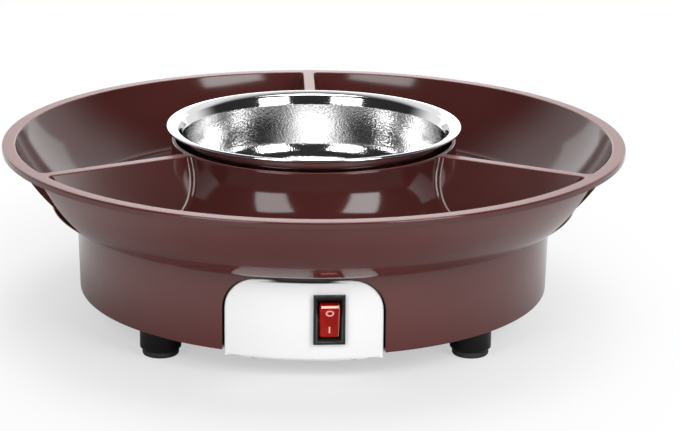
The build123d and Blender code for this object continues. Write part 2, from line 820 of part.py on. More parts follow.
def leads():
    """The inner wiring, from the terminal block round the circuit and back."""
    entry = block_front + wire_hole_depth
    fuse_level = plate_under - fuse_radius
    tab_level = plate_under - element_height / 2
    snap_level = plate_under - thermostat_height - tab_thickness / 2
    element_tip = element_length / 2 + tab_length
    element_y = element_tab_pitch / 2
    fuse_tip = fuse_length / 2
    return {
        "lead_live": [
            (0, entry, wire_height), (0, block_front - 12, wire_height), (-5, 10, wire_height - 3),
            (-6, -30, wire_height - 3), behind_switch_tab(2, 18), behind_switch_tab(2, 0),
        ],
        "lead_switched": [
            behind_switch_tab(1, 0), behind_switch_tab(1, 12), (-8, -57, switch_height + 4),
            (-19, -46, fuse_level - 4), (-20, -fuse_offset, fuse_level),
            (-fuse_tip, -fuse_offset, fuse_level),
        ],
        "lead_fuse": [
            (fuse_tip, -fuse_offset, fuse_level), (22, -fuse_offset, fuse_level), (38, -29, fuse_level - 4),
            (48, -20, tab_level - 1), (48, -element_y, tab_level), (element_tip, -element_y, tab_level),
        ],
        "lead_element": [
            (element_tip, element_y, tab_level), (48, element_y, tab_level), (48, 20, tab_level - 3),
            (36, thermostat_offset, snap_level), (thermostat_tab_reach, thermostat_offset, snap_level),
        ],
        "lead_neutral": [
            (-thermostat_tab_reach, thermostat_offset, snap_level), (-26, thermostat_offset, snap_level),
            (-31, 42, snap_level - 4), (-20, 45, wire_height + 1), (-block_pitch, 46, wire_height),
            (-block_pitch, entry, wire_height),
        ],
        "lead_lamp": [
            (block_pitch, entry, wire_height), (block_pitch, block_front - 12, wire_height),
            (15, 0, wire_height - 2), (12, -35, wire_height + 4),
            behind_switch_tab(0, 18), behind_switch_tab(0, 0),
        ],
    }


def build():
    """Every node with its solids."""
    panel_place = Rot(0, 0, panel_turn)
    nodes = {
        "housing": housing(),
        "bottom_cover": bottom_cover(),
        "control_panel": control_panel(),
        "switch_body": switch_body(),
        "switch_terminals": switch_terminals(),
        "rocker": rocker(),
        "switch_lamp": switch_lamp(),
        "heating_plate": heating_plate(),
        "plate_seal": plate_seal(),
        "plate_screws": screws_up(plate_screw_places(), plate_under, plate_flange + seal_thickness),
        "heating_element": heating_element(),
        "element_clamp": element_clamp(),
        "clamp_screws": screws_up(strap_screw_places(), plate_under - sheet, screw_bite),
        "heater_terminals": heater_terminals(),
        "thermostat": thermostat(),
        "thermostat_screws": screws_up(thermostat_screw_places(), plate_under - sheet, screw_bite),
        "thermal_fuse": thermal_fuse(),
        "fuse_clip": fuse_clip(),
        "fuse_screw": screws_up([fuse_screw_place()], plate_under - sheet, screw_bite),
        "terminal_block": terminal_block(),
        "terminal_block_screws": terminal_block_screws(),
        "cord_gland": cord_gland(),
        "gland_nut": gland_nut(),
        "cover_screws": screws_up(post_places(), cover_under, cover_thickness + screw_bite),
        "panel_screws": [panel_place * s for s in screws_up(panel_screw_places(), panel_bottom, screw_bite)],
        "foot_screws": screws_up(foot_places(), foot_web_under, foot_web + screw_bite),
        "serving_tray": serving_tray(),
        "melting_bowl": melting_bowl(),
    }
    for i, (x, y) in enumerate(foot_places(), 1):
        nodes[f"foot_leg_{i}"] = foot_leg(x, y)
        nodes[f"foot_pad_{i}"] = foot_pad(x, y)
    for name, points in leads().items():
        nodes[name] = lead(points)
    return nodes


os.makedirs("parts", exist_ok=True)
for name, shape in build().items():
    solids = shape if isinstance(shape, list) else [shape]
    export_step(Compound(children=[s for part in solids for s in part.solids()]), f"parts/{name}.step")
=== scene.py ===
"""Looks of an electric chocolate melter: fine meshes, finishes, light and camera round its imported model."""
from __future__ import annotations

import json
import logging
import math
from dataclasses import dataclass, field
from enum import Enum
from typing import Any, Callable, Iterable, Optional, Sequence

import bmesh
import bpy
import numpy as np
from mathutils import Matrix, Vector
from mathutils.geometry import tessellate_polygon


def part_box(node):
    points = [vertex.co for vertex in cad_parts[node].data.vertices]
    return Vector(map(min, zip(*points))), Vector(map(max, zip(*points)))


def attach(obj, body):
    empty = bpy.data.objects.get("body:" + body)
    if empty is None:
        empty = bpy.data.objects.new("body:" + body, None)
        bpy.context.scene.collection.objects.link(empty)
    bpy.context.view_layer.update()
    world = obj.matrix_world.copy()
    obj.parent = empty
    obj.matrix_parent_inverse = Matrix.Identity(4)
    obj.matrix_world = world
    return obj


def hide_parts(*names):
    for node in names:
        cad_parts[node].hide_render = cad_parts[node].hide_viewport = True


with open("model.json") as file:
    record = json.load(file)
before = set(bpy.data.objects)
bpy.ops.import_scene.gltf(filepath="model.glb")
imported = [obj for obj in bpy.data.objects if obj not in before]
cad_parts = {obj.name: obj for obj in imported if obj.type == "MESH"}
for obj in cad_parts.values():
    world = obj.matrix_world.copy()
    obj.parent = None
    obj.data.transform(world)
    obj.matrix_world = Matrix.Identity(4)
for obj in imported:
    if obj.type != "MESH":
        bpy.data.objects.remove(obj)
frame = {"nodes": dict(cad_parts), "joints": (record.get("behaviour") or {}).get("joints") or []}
LOG = logging.getLogger("chocolate_melter")

MM = 0.001
MERGE = 1e-7
SHARP = math.radians(32.0)
SEGMENTS = 288
LEAD_IN = 0.1 * MM
CUT_PAST = 4.0 * MM
CUT_SLANT = 12.0

Pair = tuple[float, float]
Band = tuple[Pair, Pair]
Triple = tuple[float, float, float]
Outline = list[Pair]
Place = Callable[[float, float, float], Triple]
Colour = tuple[float, float, float, float]
Piece = bpy.types.Object
Pieces = dict[str, Piece]

UNLIT: Colour = (0.0, 0.0, 0.0, 1.0)
PURE_WHITE: Colour = (1.0, 1.0, 1.0, 1.0)


class Body(Enum):
    """The bodies that pieces ride on."""

    BASE = "base"
    TRAY = "tray"
    BOWL = "bowl"
    ROCKER = "rocker"


class Cut(Enum):
    """What a tool does to the piece that it meets."""

    REMOVE = "DIFFERENCE"
    JOIN = "UNION"
    KEEP = "INTERSECT"


# Node graphs


class Signal:
    """A node's output that takes part in Python arithmetic."""

    def __init__(self, graph: Graph, socket: bpy.types.NodeSocket) -> None:
        """Wrap one output socket of a graph."""
        self.graph = graph
        self.socket = socket

    def maths(self, operation: str, *values: Any) -> Signal:
        """Add a Math node.

        Args:
            operation: The node's operation.
            values: Its inputs, as signals or numbers.

        Returns:
            The node's result.
        """
        return self.graph.add("ShaderNodeMath", {"operation": operation}, dict(enumerate(values)))

    def __add__(self, other: Any) -> Signal:
        """Sum."""
        return self.maths("ADD", self, other)

    def __radd__(self, other: Any) -> Signal:
        """Sum, with the signal on the right."""
        return self.maths("ADD", other, self)

    def __sub__(self, other: Any) -> Signal:
        """Difference."""
        return self.maths("SUBTRACT", self, other)

    def __rsub__(self, other: Any) -> Signal:
        """Difference, with the signal on the right."""
        return self.maths("SUBTRACT", other, self)

    def __mul__(self, other: Any) -> Signal:
        """Product."""
        return self.maths("MULTIPLY", self, other)

    def __rmul__(self, other: Any) -> Signal:
        """Product, with the signal on the right."""
        return self.maths("MULTIPLY", other, self)

    def __truediv__(self, other: Any) -> Signal:
        """Quotient."""
        return self.maths("DIVIDE", self, other)

    def __rtruediv__(self, other: Any) -> Signal:
        """Quotient, with the signal on the right."""
        return self.maths("DIVIDE", other, self)

    def band(self, rise: Pair, fall: Pair) -> Signal:
        """A smooth mask that is 1 from the end of a rise to the start of a fall."""
        return self.between(*rise) * (1 - self.between(*fall))

    def larger(self, other: Any) -> Signal:
        """The larger of two values."""
        return self.maths("MAXIMUM", self, other)

    def between(self, low: float, high: float) -> Signal:
        """A smooth mask that rises from 0 at low to 1 at high."""
        limits = {"Value": self, "From Min": low, "From Max": high}
        return self.graph.add("ShaderNodeMapRange", {"interpolation_type": "SMOOTHSTEP"}, limits)


class Graph:
    """A node tree with one way of adding nodes to it."""

    def __init__(self, tree: bpy.types.NodeTree) -> None:
        """Work on a tree."""
        self.tree = tree

    def add(self, kind: str, settings: Optional[dict] = None, inputs: Optional[dict] = None,
            out: Any = 0) -> Optional[Signal]:
        """Add any node.

        Args:
            kind: The node's type.
            settings: Its properties, which are set first.
            inputs: Values or signals by the socket's name or number.
            out: The name or number of the output that is wanted.

        Returns:
            That output, or nothing if the node has none.
        """
        node = self.tree.nodes.new(kind)
        for key, value in (settings or {}).items():
            setattr(node, key, value)
        for key, value in (inputs or {}).items():
            if isinstance(value, Signal):
                self.tree.links.new(value.socket, node.inputs[key])
            else:
                node.inputs[key].default_value = value
        return Signal(self, node.outputs[out]) if node.outputs else None

    def mix(self, share: Any, first: Any, second: Any) -> Signal:
        """Blend two colours by a share from 0 to 1."""
        return self.add("ShaderNodeMix", {"data_type": "RGBA"}, {0: share, 6: first, 7: second}, 2)

    def place(self) -> Signal:
        """The point on the piece, in metres in the part's frame."""
        return self.add("ShaderNodeTexCoord", out="Object")

    def noise(self, scale: float, detail: float, stretch: Optional[Triple] = None) -> Signal:
        """Cloudy noise over the piece.

        Args:
            scale: Features per metre.
            detail: How many finer layers are added.
            stretch: Factors on the features per metre along X, Y and Z.

        Returns:
            Values from 0 to 1.
        """
        where = self.place()
        if stretch:
            where = self.add("ShaderNodeMapping", inputs={"Vector": where, "Scale": stretch})
        return self.add("ShaderNodeTexNoise", inputs={"Vector": where, "Scale": scale, "Detail": detail})

    def vector(self, operation: str, *values: Any, out: Any = 0) -> Signal:
        """Add a Vector Math node with its inputs in order."""
        return self.add("ShaderNodeVectorMath", {"operation": operation}, dict(enumerate(values)), out)

    def part(self, vector: Signal, axis: str) -> Signal:
        """One coordinate of a vector."""
        return self.add("ShaderNodeSeparateXYZ", inputs={0: vector}, out=axis)

    def aside(self) -> Signal:
        """The point's offset from the Z axis."""
        return self.vector("MULTIPLY", self.place(), (1, 1, 0))

    def radius(self) -> Signal:
        """The distance from the Z axis."""
        return self.vector("LENGTH", self.aside(), out="Value")

    def height(self) -> Signal:
        """The height over the table."""
        return self.part(self.place(), "Z")

    def facing(self) -> Signal:
        """The face's own normal, without smoothing or bumps."""
        return self.add("ShaderNodeNewGeometry", out="True Normal")

    def ray(self, kind: str) -> Signal:
        """1 for rays of a kind, such as Camera or Glossy, and 0 for the others."""
        return self.add("ShaderNodeLightPath", out=f"Is {kind} Ray")

    def bump(self, relief: Signal, depth: float) -> Signal:
        """Normals of a fine relief, with its depth in metres."""
        return self.add("ShaderNodeBump", inputs={"Height": relief, "Distance": depth})

    def blend(self, share: Any, first: Signal, second: Signal) -> Signal:
        """Blend two shaders by a share from 0 to 1."""
        return self.add("ShaderNodeMixShader", inputs={0: share, 1: first, 2: second})


def blank(owner: bpy.types.ID) -> Graph:
    """The emptied node graph of a material or a world."""
    owner.use_nodes = True
    owner.node_tree.nodes.clear()
    return Graph(owner.node_tree)


# Finishes


def tinted(colour: Colour, gain: float) -> Colour:
    """A colour made lighter or darker."""
    return (*(min(1.0, c * gain) for c in colour[:3]), 1.0)


@dataclass(frozen=True)
class Finish:
    """A surface finish that makes its material once.

    Attributes:
        name: The material's name.
        slot: The record's material slot; not used.
        colour: The main colour.
        rough: The mean roughness.
    """

    name: str
    slot: str
    colour: Colour
    rough: float

    def sockets(self, graph: Graph) -> dict[str, Any]:
        """Values and signals for the shader's sockets."""
        raise NotImplementedError

    def material(self) -> bpy.types.Material:
        """The material, made on first use."""
        made = bpy.data.materials.get(self.name)
        if made is None:
            made = bpy.data.materials.new(self.name)
            graph = blank(made)
            shader = graph.add("ShaderNodeBsdfPrincipled", None, self.sockets(graph))
            graph.add("ShaderNodeOutputMaterial", None, {"Surface": self.surface(graph, shader)})
            made.diffuse_color = self.colour
        return made

    def surface(self, graph: Graph, shader: Signal) -> Signal:
        """The shader as it is."""
        return shader


@dataclass(frozen=True)
class Moulding(Finish):
    """Moulded plastic with a fine grain, faint flow clouds and slightly uneven gloss.

    Attributes:
        grain: Features of the grain per metre.
        depth: Depth of the grain in metres.
        mottle: Share by which the colour varies.
        uneven: Amount by which the roughness varies.
        mirror: Strength of the reflections, with 0.5 as plain plastic.
        clouds: Clouds of colour per metre.
        wipes: Stretch of the patches of gloss along X, Y and Z.
    """

    grain: float = 2200.0
    depth: float = 4e-6
    mottle: float = 0.06
    uneven: float = 0.06
    mirror: float = 0.5
    clouds: float = 22.0
    wipes: Triple = (9.0, 31.0, 31.0)

    def sockets(self, graph: Graph) -> dict[str, Any]:
        """Cloudy colour, uneven gloss and a fine grain."""
        clouds = graph.noise(self.clouds, 4.0)
        grain = graph.noise(self.grain, 3.0)
        wipes = graph.noise(4.0, 5.0, self.wipes)
        dark, light = tinted(self.colour, 1 - self.mottle), tinted(self.colour, 1 + self.mottle)
        return {
            "Base Color": graph.mix(clouds.between(0.3, 0.7), dark, light),
            "Roughness": self.rough + self.uneven * (wipes - 0.5) + self.uneven * (grain - 0.5),
            "Normal": graph.bump(grain, self.depth),
            "Specular IOR Level": self.mirror,
        }


@dataclass(frozen=True)
class Liner(Moulding):
    """A moulding that is glossy inside, satin with a painted highlight on its top land, and dark matt with
    painted shade underneath.

    Attributes:
        underside: Colour of what faces down, darkened as painted shade.
        land: Heights between which the top land starts.
        land_highlight_colour: Its colour.
        satin: Its roughness.
        turn_under: Upward shares of the normal between which matt gives way to gloss.
    """

    underside: Colour = (0.06, 0.017, 0.0155, 1.0)
    land: Pair = (77.7 * MM, 77.9 * MM)
    land_highlight_colour: Colour = (0.21, 0.075, 0.071, 1.0)
    satin: float = 0.38
    turn_under: Pair = (-0.2, -0.1)

    def sockets(self, graph: Graph) -> dict[str, Any]:
        """The moulding's gloss, less of it on the land, where a lighter colour is a painted highlight."""
        made = super().sockets(graph)
        land = graph.height().between(*self.land)
        # Painted highlight: the top land gets a lighter colour for the pale reflections along the rim and
        # divider tops.
        made["Base Color"] = graph.mix(land, made["Base Color"], self.land_highlight_colour)
        made["Roughness"] = made["Roughness"] * (1 - land) + self.satin * land
        return made

    def surface(self, graph: Graph, shader: Signal) -> Signal:
        """Gloss that gives way to matt where the moulding faces down: the matt is a plain back face, its dark
        colour painted shade.
        """
        # Painted shade: faces that point down become dark matt, for the shade of the tray wall inside the
        # finger windows.
        downward = 1 - graph.part(graph.facing(), "Z").between(*self.turn_under)
        shaded_matt = graph.add("ShaderNodeBsdfDiffuse", None, {"Color": self.underside})
        return graph.blend(downward, shader, shaded_matt)


@dataclass(frozen=True)
class Facing(Moulding):
    """A moulding whose flange is darkened with painted shade behind its face.

    Attributes:
        joint: Radii between which the painted shade ends.
        foot: Heights between which it starts.
        shade: Colour of the painted shade.
    """

    joint: Pair = (101.5 * MM, 102.2 * MM)
    foot: Pair = (12.2 * MM, 14 * MM)
    shade: Colour = (0.012, 0.01, 0.01, 1.0)

    def sockets(self, graph: Graph) -> dict[str, Any]:
        """The moulding with its flange darkened as painted shade."""
        made = super().sockets(graph)
        # Painted shade on the flange behind the face, above the foot.
        painted_shade_mask = (1 - graph.radius().between(*self.joint)) * graph.height().between(*self.foot)
        made["Base Color"] = graph.mix(painted_shade_mask, made["Base Color"], self.shade)
        return made


@dataclass(frozen=True)
class Lens(Finish):
    """Translucent moulded plastic with a cloudy tint, a painted highlight on its edges and a painted glow in
    the upper one.

    Attributes:
        clear: Share of light that passes.
        mirror: Strength of the reflections.
        edge: Colour of the painted highlight on the thin edges that face up or aside.
        glow: Strength of the painted glow along the upper edge.
        glow_height: Heights between which the painted highlight and glow set in.
        tint: Gains of the colour in its darkest and lightest clouds.
        clouds: Clouds of colour per metre.
        pits: Pits in the surface per metre.
        pit_depth: Their depth in metres.
        uneven: Amount by which the pits vary the roughness.
        brim: Upward shares of the normal over which the painted highlight on the upper edge starts and ends.
        brim_sides: Sideways shares of the normal over which it ends.
        flank: Share of the painted highlight colour on the sides.
        flank_band: Sideways shares of the normal over which they start and end.
        index: Refractive index.
    """

    clear: float = 0.25
    mirror: float = 0.5
    edge: Colour = (1.0, 0.5, 0.4, 1.0)
    glow: float = 0.0
    glow_height: Pair = (30 * MM, 32 * MM)
    tint: Pair = (0.82, 1.15)
    clouds: float = 240.0
    pits: float = 3000.0
    pit_depth: float = 2e-6
    uneven: float = 0.08
    brim: Band = ((0.06, 0.2), (0.85, 0.96))
    brim_sides: Pair = (0.2, 0.5)
    flank: float = 0.35
    flank_band: Band = ((0.3, 0.6), (0.7, 0.9))
    index: float = 1.58

    def sockets(self, graph: Graph) -> dict[str, Any]:
        """Uneven tint with a polished surface and a painted highlight on the edges."""
        clouds = graph.noise(self.clouds, 3.0)
        pits = graph.noise(self.pits, 2.0)
        dark, light = (tinted(self.colour, gain) for gain in self.tint)
        facing = graph.add("ShaderNodeTexCoord", out="Normal")
        upward, aside = graph.part(facing, "Z"), graph.part(facing, "X")
        level = aside.maths("ABSOLUTE", aside)
        # Painted highlight: the upper edge and the sides are mixed towards the pale edge colour.
        brim = upward.band(*self.brim) * (1 - level.between(*self.brim_sides))
        brim = brim * graph.height().between(*self.glow_height)
        flank = self.flank * aside.band(*self.flank_band)
        body = graph.mix(clouds.between(0.35, 0.65), dark, light)
        return {
            "Base Color": graph.mix(brim.larger(flank), body, self.edge),
            "Roughness": self.rough + self.uneven * (pits - 0.5),
            "Normal": graph.bump(pits, self.pit_depth),
            "Transmission Weight": self.clear,
            "Specular IOR Level": self.mirror,
            "IOR": self.index,
            # Painted glow: the upper edge also emits the pale colour, standing in for a highlight.
            "Emission Color": graph.mix(brim, UNLIT, self.edge),
            "Emission Strength": self.glow,
        }


@dataclass(frozen=True)
class SpunSteel(Finish):
    """Pressed stainless steel: polished outside and on the lip, satin and finely pebbled inside.

    Attributes:
        polish: Roughness of the lip and the outside.
        crease: Height of the crease under the lip.
        crease_fade: Half the height over which polish sets in there.
        pebbles: Pebbles of the grain per metre.
        pebble_depth: Their depth in metres.
        stains: Cloudy stains per metre.
        uneven: Amounts by which pebbles and stains vary the roughness.
        outside: Products of offset from the axis and normal over which the outside starts.
        turn_under: Upward shares of the normal over which the underside ends.
    """

    polish: float = 0.06
    crease: float = 79.4 * MM
    crease_fade: float = 0.3 * MM
    pebbles: float = 1050.0
    pebble_depth: float = 72e-6
    stains: float = 40.0
    uneven: Pair = (0.06, 0.04)
    outside: Pair = (0.0, 2 * MM)
    turn_under: Pair = (-0.5, -0.2)

    def sockets(self, graph: Graph) -> dict[str, Any]:
        """Satin inside and below the crease, and polish elsewhere."""
        facing = graph.facing()
        outside = graph.vector("DOT_PRODUCT", graph.aside(), facing, out="Value").between(*self.outside)
        under = outside.larger(1 - graph.part(facing, "Z").between(*self.turn_under))
        lip = graph.height().between(self.crease - self.crease_fade, self.crease + self.crease_fade)
        bright = lip.larger(under)
        pebbles = graph.noise(self.pebbles, 2.0)
        stain = graph.noise(self.stains, 4.0)
        satin = self.rough + self.uneven[0] * (pebbles - 0.5) + self.uneven[1] * (stain - 0.5)
        return {
            "Base Color": graph.mix(stain.between(0.3, 0.7), tinted(self.colour, 0.95), self.colour),
            "Metallic": 1.0,
            "Roughness": satin * (1 - bright) + (self.polish + 0.03 * stain) * bright,
            "Normal": graph.bump(pebbles * (1 - bright), self.pebble_depth),
        }


@dataclass(frozen=True)
class Metal(Finish):
    """Machined, drawn or plated metal with fine directional marks.

    Attributes:
        marks: Stretch of the marks along X, Y and Z.
        depth: Depth of the marks in metres.
        lines: Marks per metre.
        tarnish: Patches of tarnish per metre.
        uneven: Amounts by which marks and tarnish vary the roughness.
    """

    marks: Triple = (1.0, 12.0, 12.0)
    depth: float = 6e-6
    lines: float = 260.0
    tarnish: float = 90.0
    uneven: Pair = (0.14, 0.1)

    def sockets(self, graph: Graph) -> dict[str, Any]:
        """Marks in the roughness and the normals, and a faint tarnish."""
        lines = graph.noise(self.lines, 4.0, self.marks)
        tarnish = graph.noise(self.tarnish, 4.0)
        return {
            "Base Color": graph.mix(tarnish.between(0.35, 0.75), self.colour, tinted(self.colour, 0.8)),
            "Metallic": 1.0,
            "Roughness": self.rough + self.uneven[0] * (lines - 0.5) + self.uneven[1] * (tarnish - 0.5),
            "Normal": graph.bump(lines, self.depth),
        }


@dataclass(frozen=True)
class Elastic(Finish):
    """Matt rubber, silicone or lead insulation with a dusty bloom.

    Attributes:
        bloom: Share of paler dust on the surface.
        dust: How far the dust is from the colour to mid grey.
        patches: Patches of dust per metre.
        grain: Features of the grain per metre.
        depth: Depth of the grain in metres.
        uneven: Amount by which the dust varies the roughness.
    """

    bloom: float = 0.2
    dust: float = 0.25
    patches: float = 150.0
    grain: float = 1800.0
    depth: float = 8e-6
    uneven: float = 0.12

    def sockets(self, graph: Graph) -> dict[str, Any]:
        """Bloom in patches over a fine matt grain."""
        patches = graph.noise(self.patches, 5.0)
        grain = graph.noise(self.grain, 2.0)
        pale = tuple(c + self.dust * (0.5 - c) for c in self.colour[:3]) + (1.0,)
        return {
            "Base Color": graph.mix(self.bloom * patches.between(0.4, 0.8), self.colour, pale),
            "Roughness": self.rough + self.uneven * (patches - 0.5),
            "Normal": graph.bump(grain, self.depth),
        }


BROWN = Moulding("brown_moulding", "brown_plastic", (0.098, 0.0265, 0.024, 1.0), 0.11,
                 uneven=0.04, depth=1.5e-6)
# The tray's brown is darker than the housing's: painted shade on the same plastic, for the dimmer light deep
# in the compartments.
LINER = Liner("tray_moulding", "brown_plastic", (0.074, 0.0185, 0.0165, 1.0), 0.11, uneven=0.04, depth=1.5e-6)
WHITE = Facing("white_moulding", "white_plastic", (0.86, 0.86, 0.86, 1.0), 0.3, mottle=0.015)
BLACK = Moulding("black_moulding", "black_plastic", (0.012, 0.013, 0.012, 1.0), 0.36,
                 depth=8e-6, mottle=0.15, mirror=0.3)
GLOSS_BLACK = Moulding("leg_moulding", "black_plastic", (0.004, 0.004, 0.004, 1.0), 0.2,
                       mottle=0.15, mirror=0.3)
RUBBER = Elastic("pad_rubber", "black_rubber", (0.018, 0.018, 0.018, 1.0), 0.75)
# The red rocker's glow is a painted glow for the highlight on its upper edge.
RED = Lens("rocker_red", "red_lens", (0.32, 0.006, 0.003, 1.0), 0.16, clear=0.05, mirror=0.2, glow=0.5)
PRINT = Moulding("pale_print", "red_lens", (0.88, 0.42, 0.37, 1.0), 0.4, mottle=0.04)
LAMP = Lens("lamp_envelope", "lamp_glass", (0.9, 0.6, 0.4, 1.0), 0.05, clear=0.8)
STEEL = SpunSteel("bowl_steel", "stainless", (0.78, 0.78, 0.78, 1.0), 0.09)
CAST = Metal("cast_alloy", "cast_aluminium", (0.6, 0.6, 0.61, 1.0), 0.4)
CASE = Metal("drawn_case", "element_case", (0.5, 0.5, 0.5, 1.0), 0.35)
ZINC = Metal("zinc_plate", "zinc_steel", (0.55, 0.56, 0.58, 1.0), 0.28, marks=(6.0, 6.0, 6.0))
BRASS = Metal("plain_brass", "brass_tabs", (0.75, 0.58, 0.28, 1.0), 0.3)
SILICONE = Elastic("seal_silicone", "silicone", (0.5, 0.09, 0.06, 1.0), 0.55, bloom=0.35)
NYLON = Moulding("natural_nylon", "nylon_block", (0.72, 0.71, 0.66, 1.0), 0.5)
BROWN_LEAD = Elastic("brown_sleeve", "lead_brown", (0.2, 0.08, 0.04, 1.0), 0.5)
WHITE_LEAD = Elastic("white_sleeve", "lead_white", (0.8, 0.8, 0.78, 1.0), 0.5)
BLUE_LEAD = Elastic("blue_sleeve", "lead_blue", (0.04, 0.12, 0.4, 1.0), 0.5)


# Meshes


def arc(centre: Pair, radius: float, start: float, end: float, steps: int) -> Outline:
    """Points along an arc in radius and height.

    Args:
        centre: The arc's centre.
        radius: Its radius.
        start: First angle, in degrees from the outward direction.
        end: Last angle.
        steps: How many chords it has.

    Returns:
        The points, both ends included.
    """
    turns = np.radians(np.linspace(start, end, steps + 1))
    return [(centre[0] + radius * math.cos(a), centre[1] + radius * math.sin(a)) for a in turns]


def rounded_corner(before: Pair, corner: Pair, after: Pair,
                   radius: float, steps: int = 5) -> Outline:
    """The points of an arc that rounds a corner of an outline.

    Args:
        before: The point before the corner.
        corner: The corner.
        after: The point after it.
        radius: Radius of the arc.
        steps: How many chords it has.

    Returns:
        The points from the first tangent to the second.
    """
    here = Vector(corner)
    one = (Vector(before) - here).normalized()
    two = (Vector(after) - here).normalized()
    half = one.angle(two) / 2
    centre = here + (one + two).normalized() * radius / math.sin(half)
    start = here + one * radius / math.tan(half) - centre
    end = here + two * radius / math.tan(half) - centre
    shares = np.linspace(0, 1, steps + 1)
    return [tuple(centre + start.slerp(end, share) * radius) for share in shares]


class Patchwork:
    """Vertices and faces gathered patch by patch."""

    def __init__(self) -> None:
        """Start with nothing."""
        self.points: list[Triple] = []
        self.faces: list[list[int]] = []

    def grid(self, rows: np.ndarray) -> np.ndarray:
        """Add a grid of quads.

        Args:
            rows: Points by row and column.

        Returns:
            Their numbers by row and column.
        """
        first = len(self.points)
        self.points += [tuple(p) for p in rows.reshape(-1, 3)]
        numbers = first + np.arange(rows.shape[0] * rows.shape[1]).reshape(rows.shape[:2])
        quads = np.stack([numbers[:-1, :-1], numbers[1:, :-1], numbers[1:, 1:], numbers[:-1, 1:]], -1)
        self.faces += quads.reshape(-1, 4).tolist()
        return numbers

    def face(self, numbers: Iterable[int]) -> None:
        """Add one face through points that are there already."""
        self.faces.append([int(n) for n in numbers])

    def tube(self, loops: Sequence[Sequence[Triple]], capped: bool = True) -> Patchwork:
        """Add a tube through closed loops of points.

        Args:
            loops: The loops, each with as many points.
            capped: Whether a face closes each end.

        Returns:
            The patchwork.
        """
        numbers = self.grid(np.array([[*loop, loop[0]] for loop in loops]))
        if capped:
            self.face(numbers[0, :-1])
            self.face(numbers[-1, :-1])
        return self

    def plate(self, *loops: Sequence[int]) -> None:
        """Fill the flat region between an outer loop of points and the loops of its holes."""
        outlines = [[Vector(self.points[n]) for n in loop] for loop in loops]
        numbers = [int(n) for loop in loops for n in loop]
        self.faces += [[numbers[i] for i in corner] for corner in tessellate_polygon(outlines)]

    def piece(self, name: str) -> Piece:
        """A closed, outward-facing mesh object of what was gathered."""
        mesh = bpy.data.meshes.new(name)
        mesh.from_pydata(self.points, [], self.faces)
        return linked(name, mended(mesh))


def mended(mesh: bpy.types.Mesh) -> bpy.types.Mesh:
    """Merge a mesh's doubles, drop empty faces and turn it outwards."""
    shape = bmesh.new()
    shape.from_mesh(mesh)
    bmesh.ops.remove_doubles(shape, verts=shape.verts, dist=MERGE)
    bmesh.ops.dissolve_degenerate(shape, edges=shape.edges, dist=MERGE)
    bmesh.ops.recalc_face_normals(shape, faces=shape.faces)
    if shape.calc_volume(signed=True) < 0:
        bmesh.ops.reverse_faces(shape, faces=shape.faces)
    shape.to_mesh(mesh)
    shape.free()
    return mesh


def linked(name: str, mesh: bpy.types.Mesh) -> Piece:
    """A new object in the scene."""
    made = bpy.data.objects.new(name, mesh)
    bpy.context.scene.collection.objects.link(made)
    return made


def settled(piece: Piece) -> Piece:
    """Turn a piece with modifiers into one with a plain mesh."""
    graph = bpy.context.evaluated_depsgraph_get()
    mesh = bpy.data.meshes.new_from_object(piece.evaluated_get(graph))
    piece.modifiers.clear()
    piece.data = mesh
    return piece


def carve(piece: Piece, cut: Cut, *tools: Piece) -> Piece:
    """Cut a piece with tools, join them on or keep what they share, and remove them.

    Args:
        piece: What is carved.
        cut: What the tools do.
        tools: Closed solids.

    Returns:
        The piece.
    """
    for tool in tools:
        modifier = piece.modifiers.new("carve", "BOOLEAN")
        modifier.operation = cut.value
        modifier.solver = "MANIFOLD"
        modifier.object = tool
        settled(piece)
        bpy.data.objects.remove(tool)
    return piece


def smoothed(piece: Piece, sharp: float = SHARP) -> Piece:
    """Shade a piece smoothly between its sharp edges, with large faces kept flat."""
    piece.data.shade_smooth()
    piece.data.set_sharp_from_angle(angle=sharp)
    modifier = piece.modifiers.new("normals", "WEIGHTED_NORMAL")
    modifier.keep_sharp = True
    return settled(piece)


def copied(node: str, name: str) -> Piece:
    """A merged copy of a CAD node."""
    return linked(name, mended(frame["nodes"][node].data.copy()))


def islands(node: str) -> list[tuple[Vector, Vector]]:
    """Corners of the box of each solid in a CAD node."""
    shape = bmesh.new()
    shape.from_mesh(frame["nodes"][node].data)
    bmesh.ops.remove_doubles(shape, verts=shape.verts, dist=MERGE)
    left, boxes = set(shape.verts), []
    while left:
        found, edge = set(), [left.pop()]
        while edge:
            spot = edge.pop()
            found.add(spot)
            near = {other for link in spot.link_edges for other in link.verts} & left
            left -= near
            edge += near
        spots = [spot.co for spot in found]
        boxes.append(tuple(Vector(pick(spot[i] for spot in spots) for i in range(3)) for pick in (min, max)))
    shape.free()
    return sorted(boxes, key=lambda box: tuple(box[0]))


def hand_over(piece: Piece, body: Body, finish: Finish, *nodes: str) -> None:
    """Give a piece its finish and its body, and let it stand for nodes.

    Args:
        piece: A finished piece at the origin.
        body: The body that it rides on.
        finish: Its finish.
        nodes: The CAD nodes that it stands for.
    """
    piece.data.materials.clear()
    piece.data.materials.append(finish.material())
    piece.data.polygons.foreach_set("material_index", [0] * len(piece.data.polygons))
    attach(piece, body.value)
    if nodes:
        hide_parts(*nodes)
    LOG.info("%s: %d faces on %s", piece.name, len(piece.data.polygons), body.value)


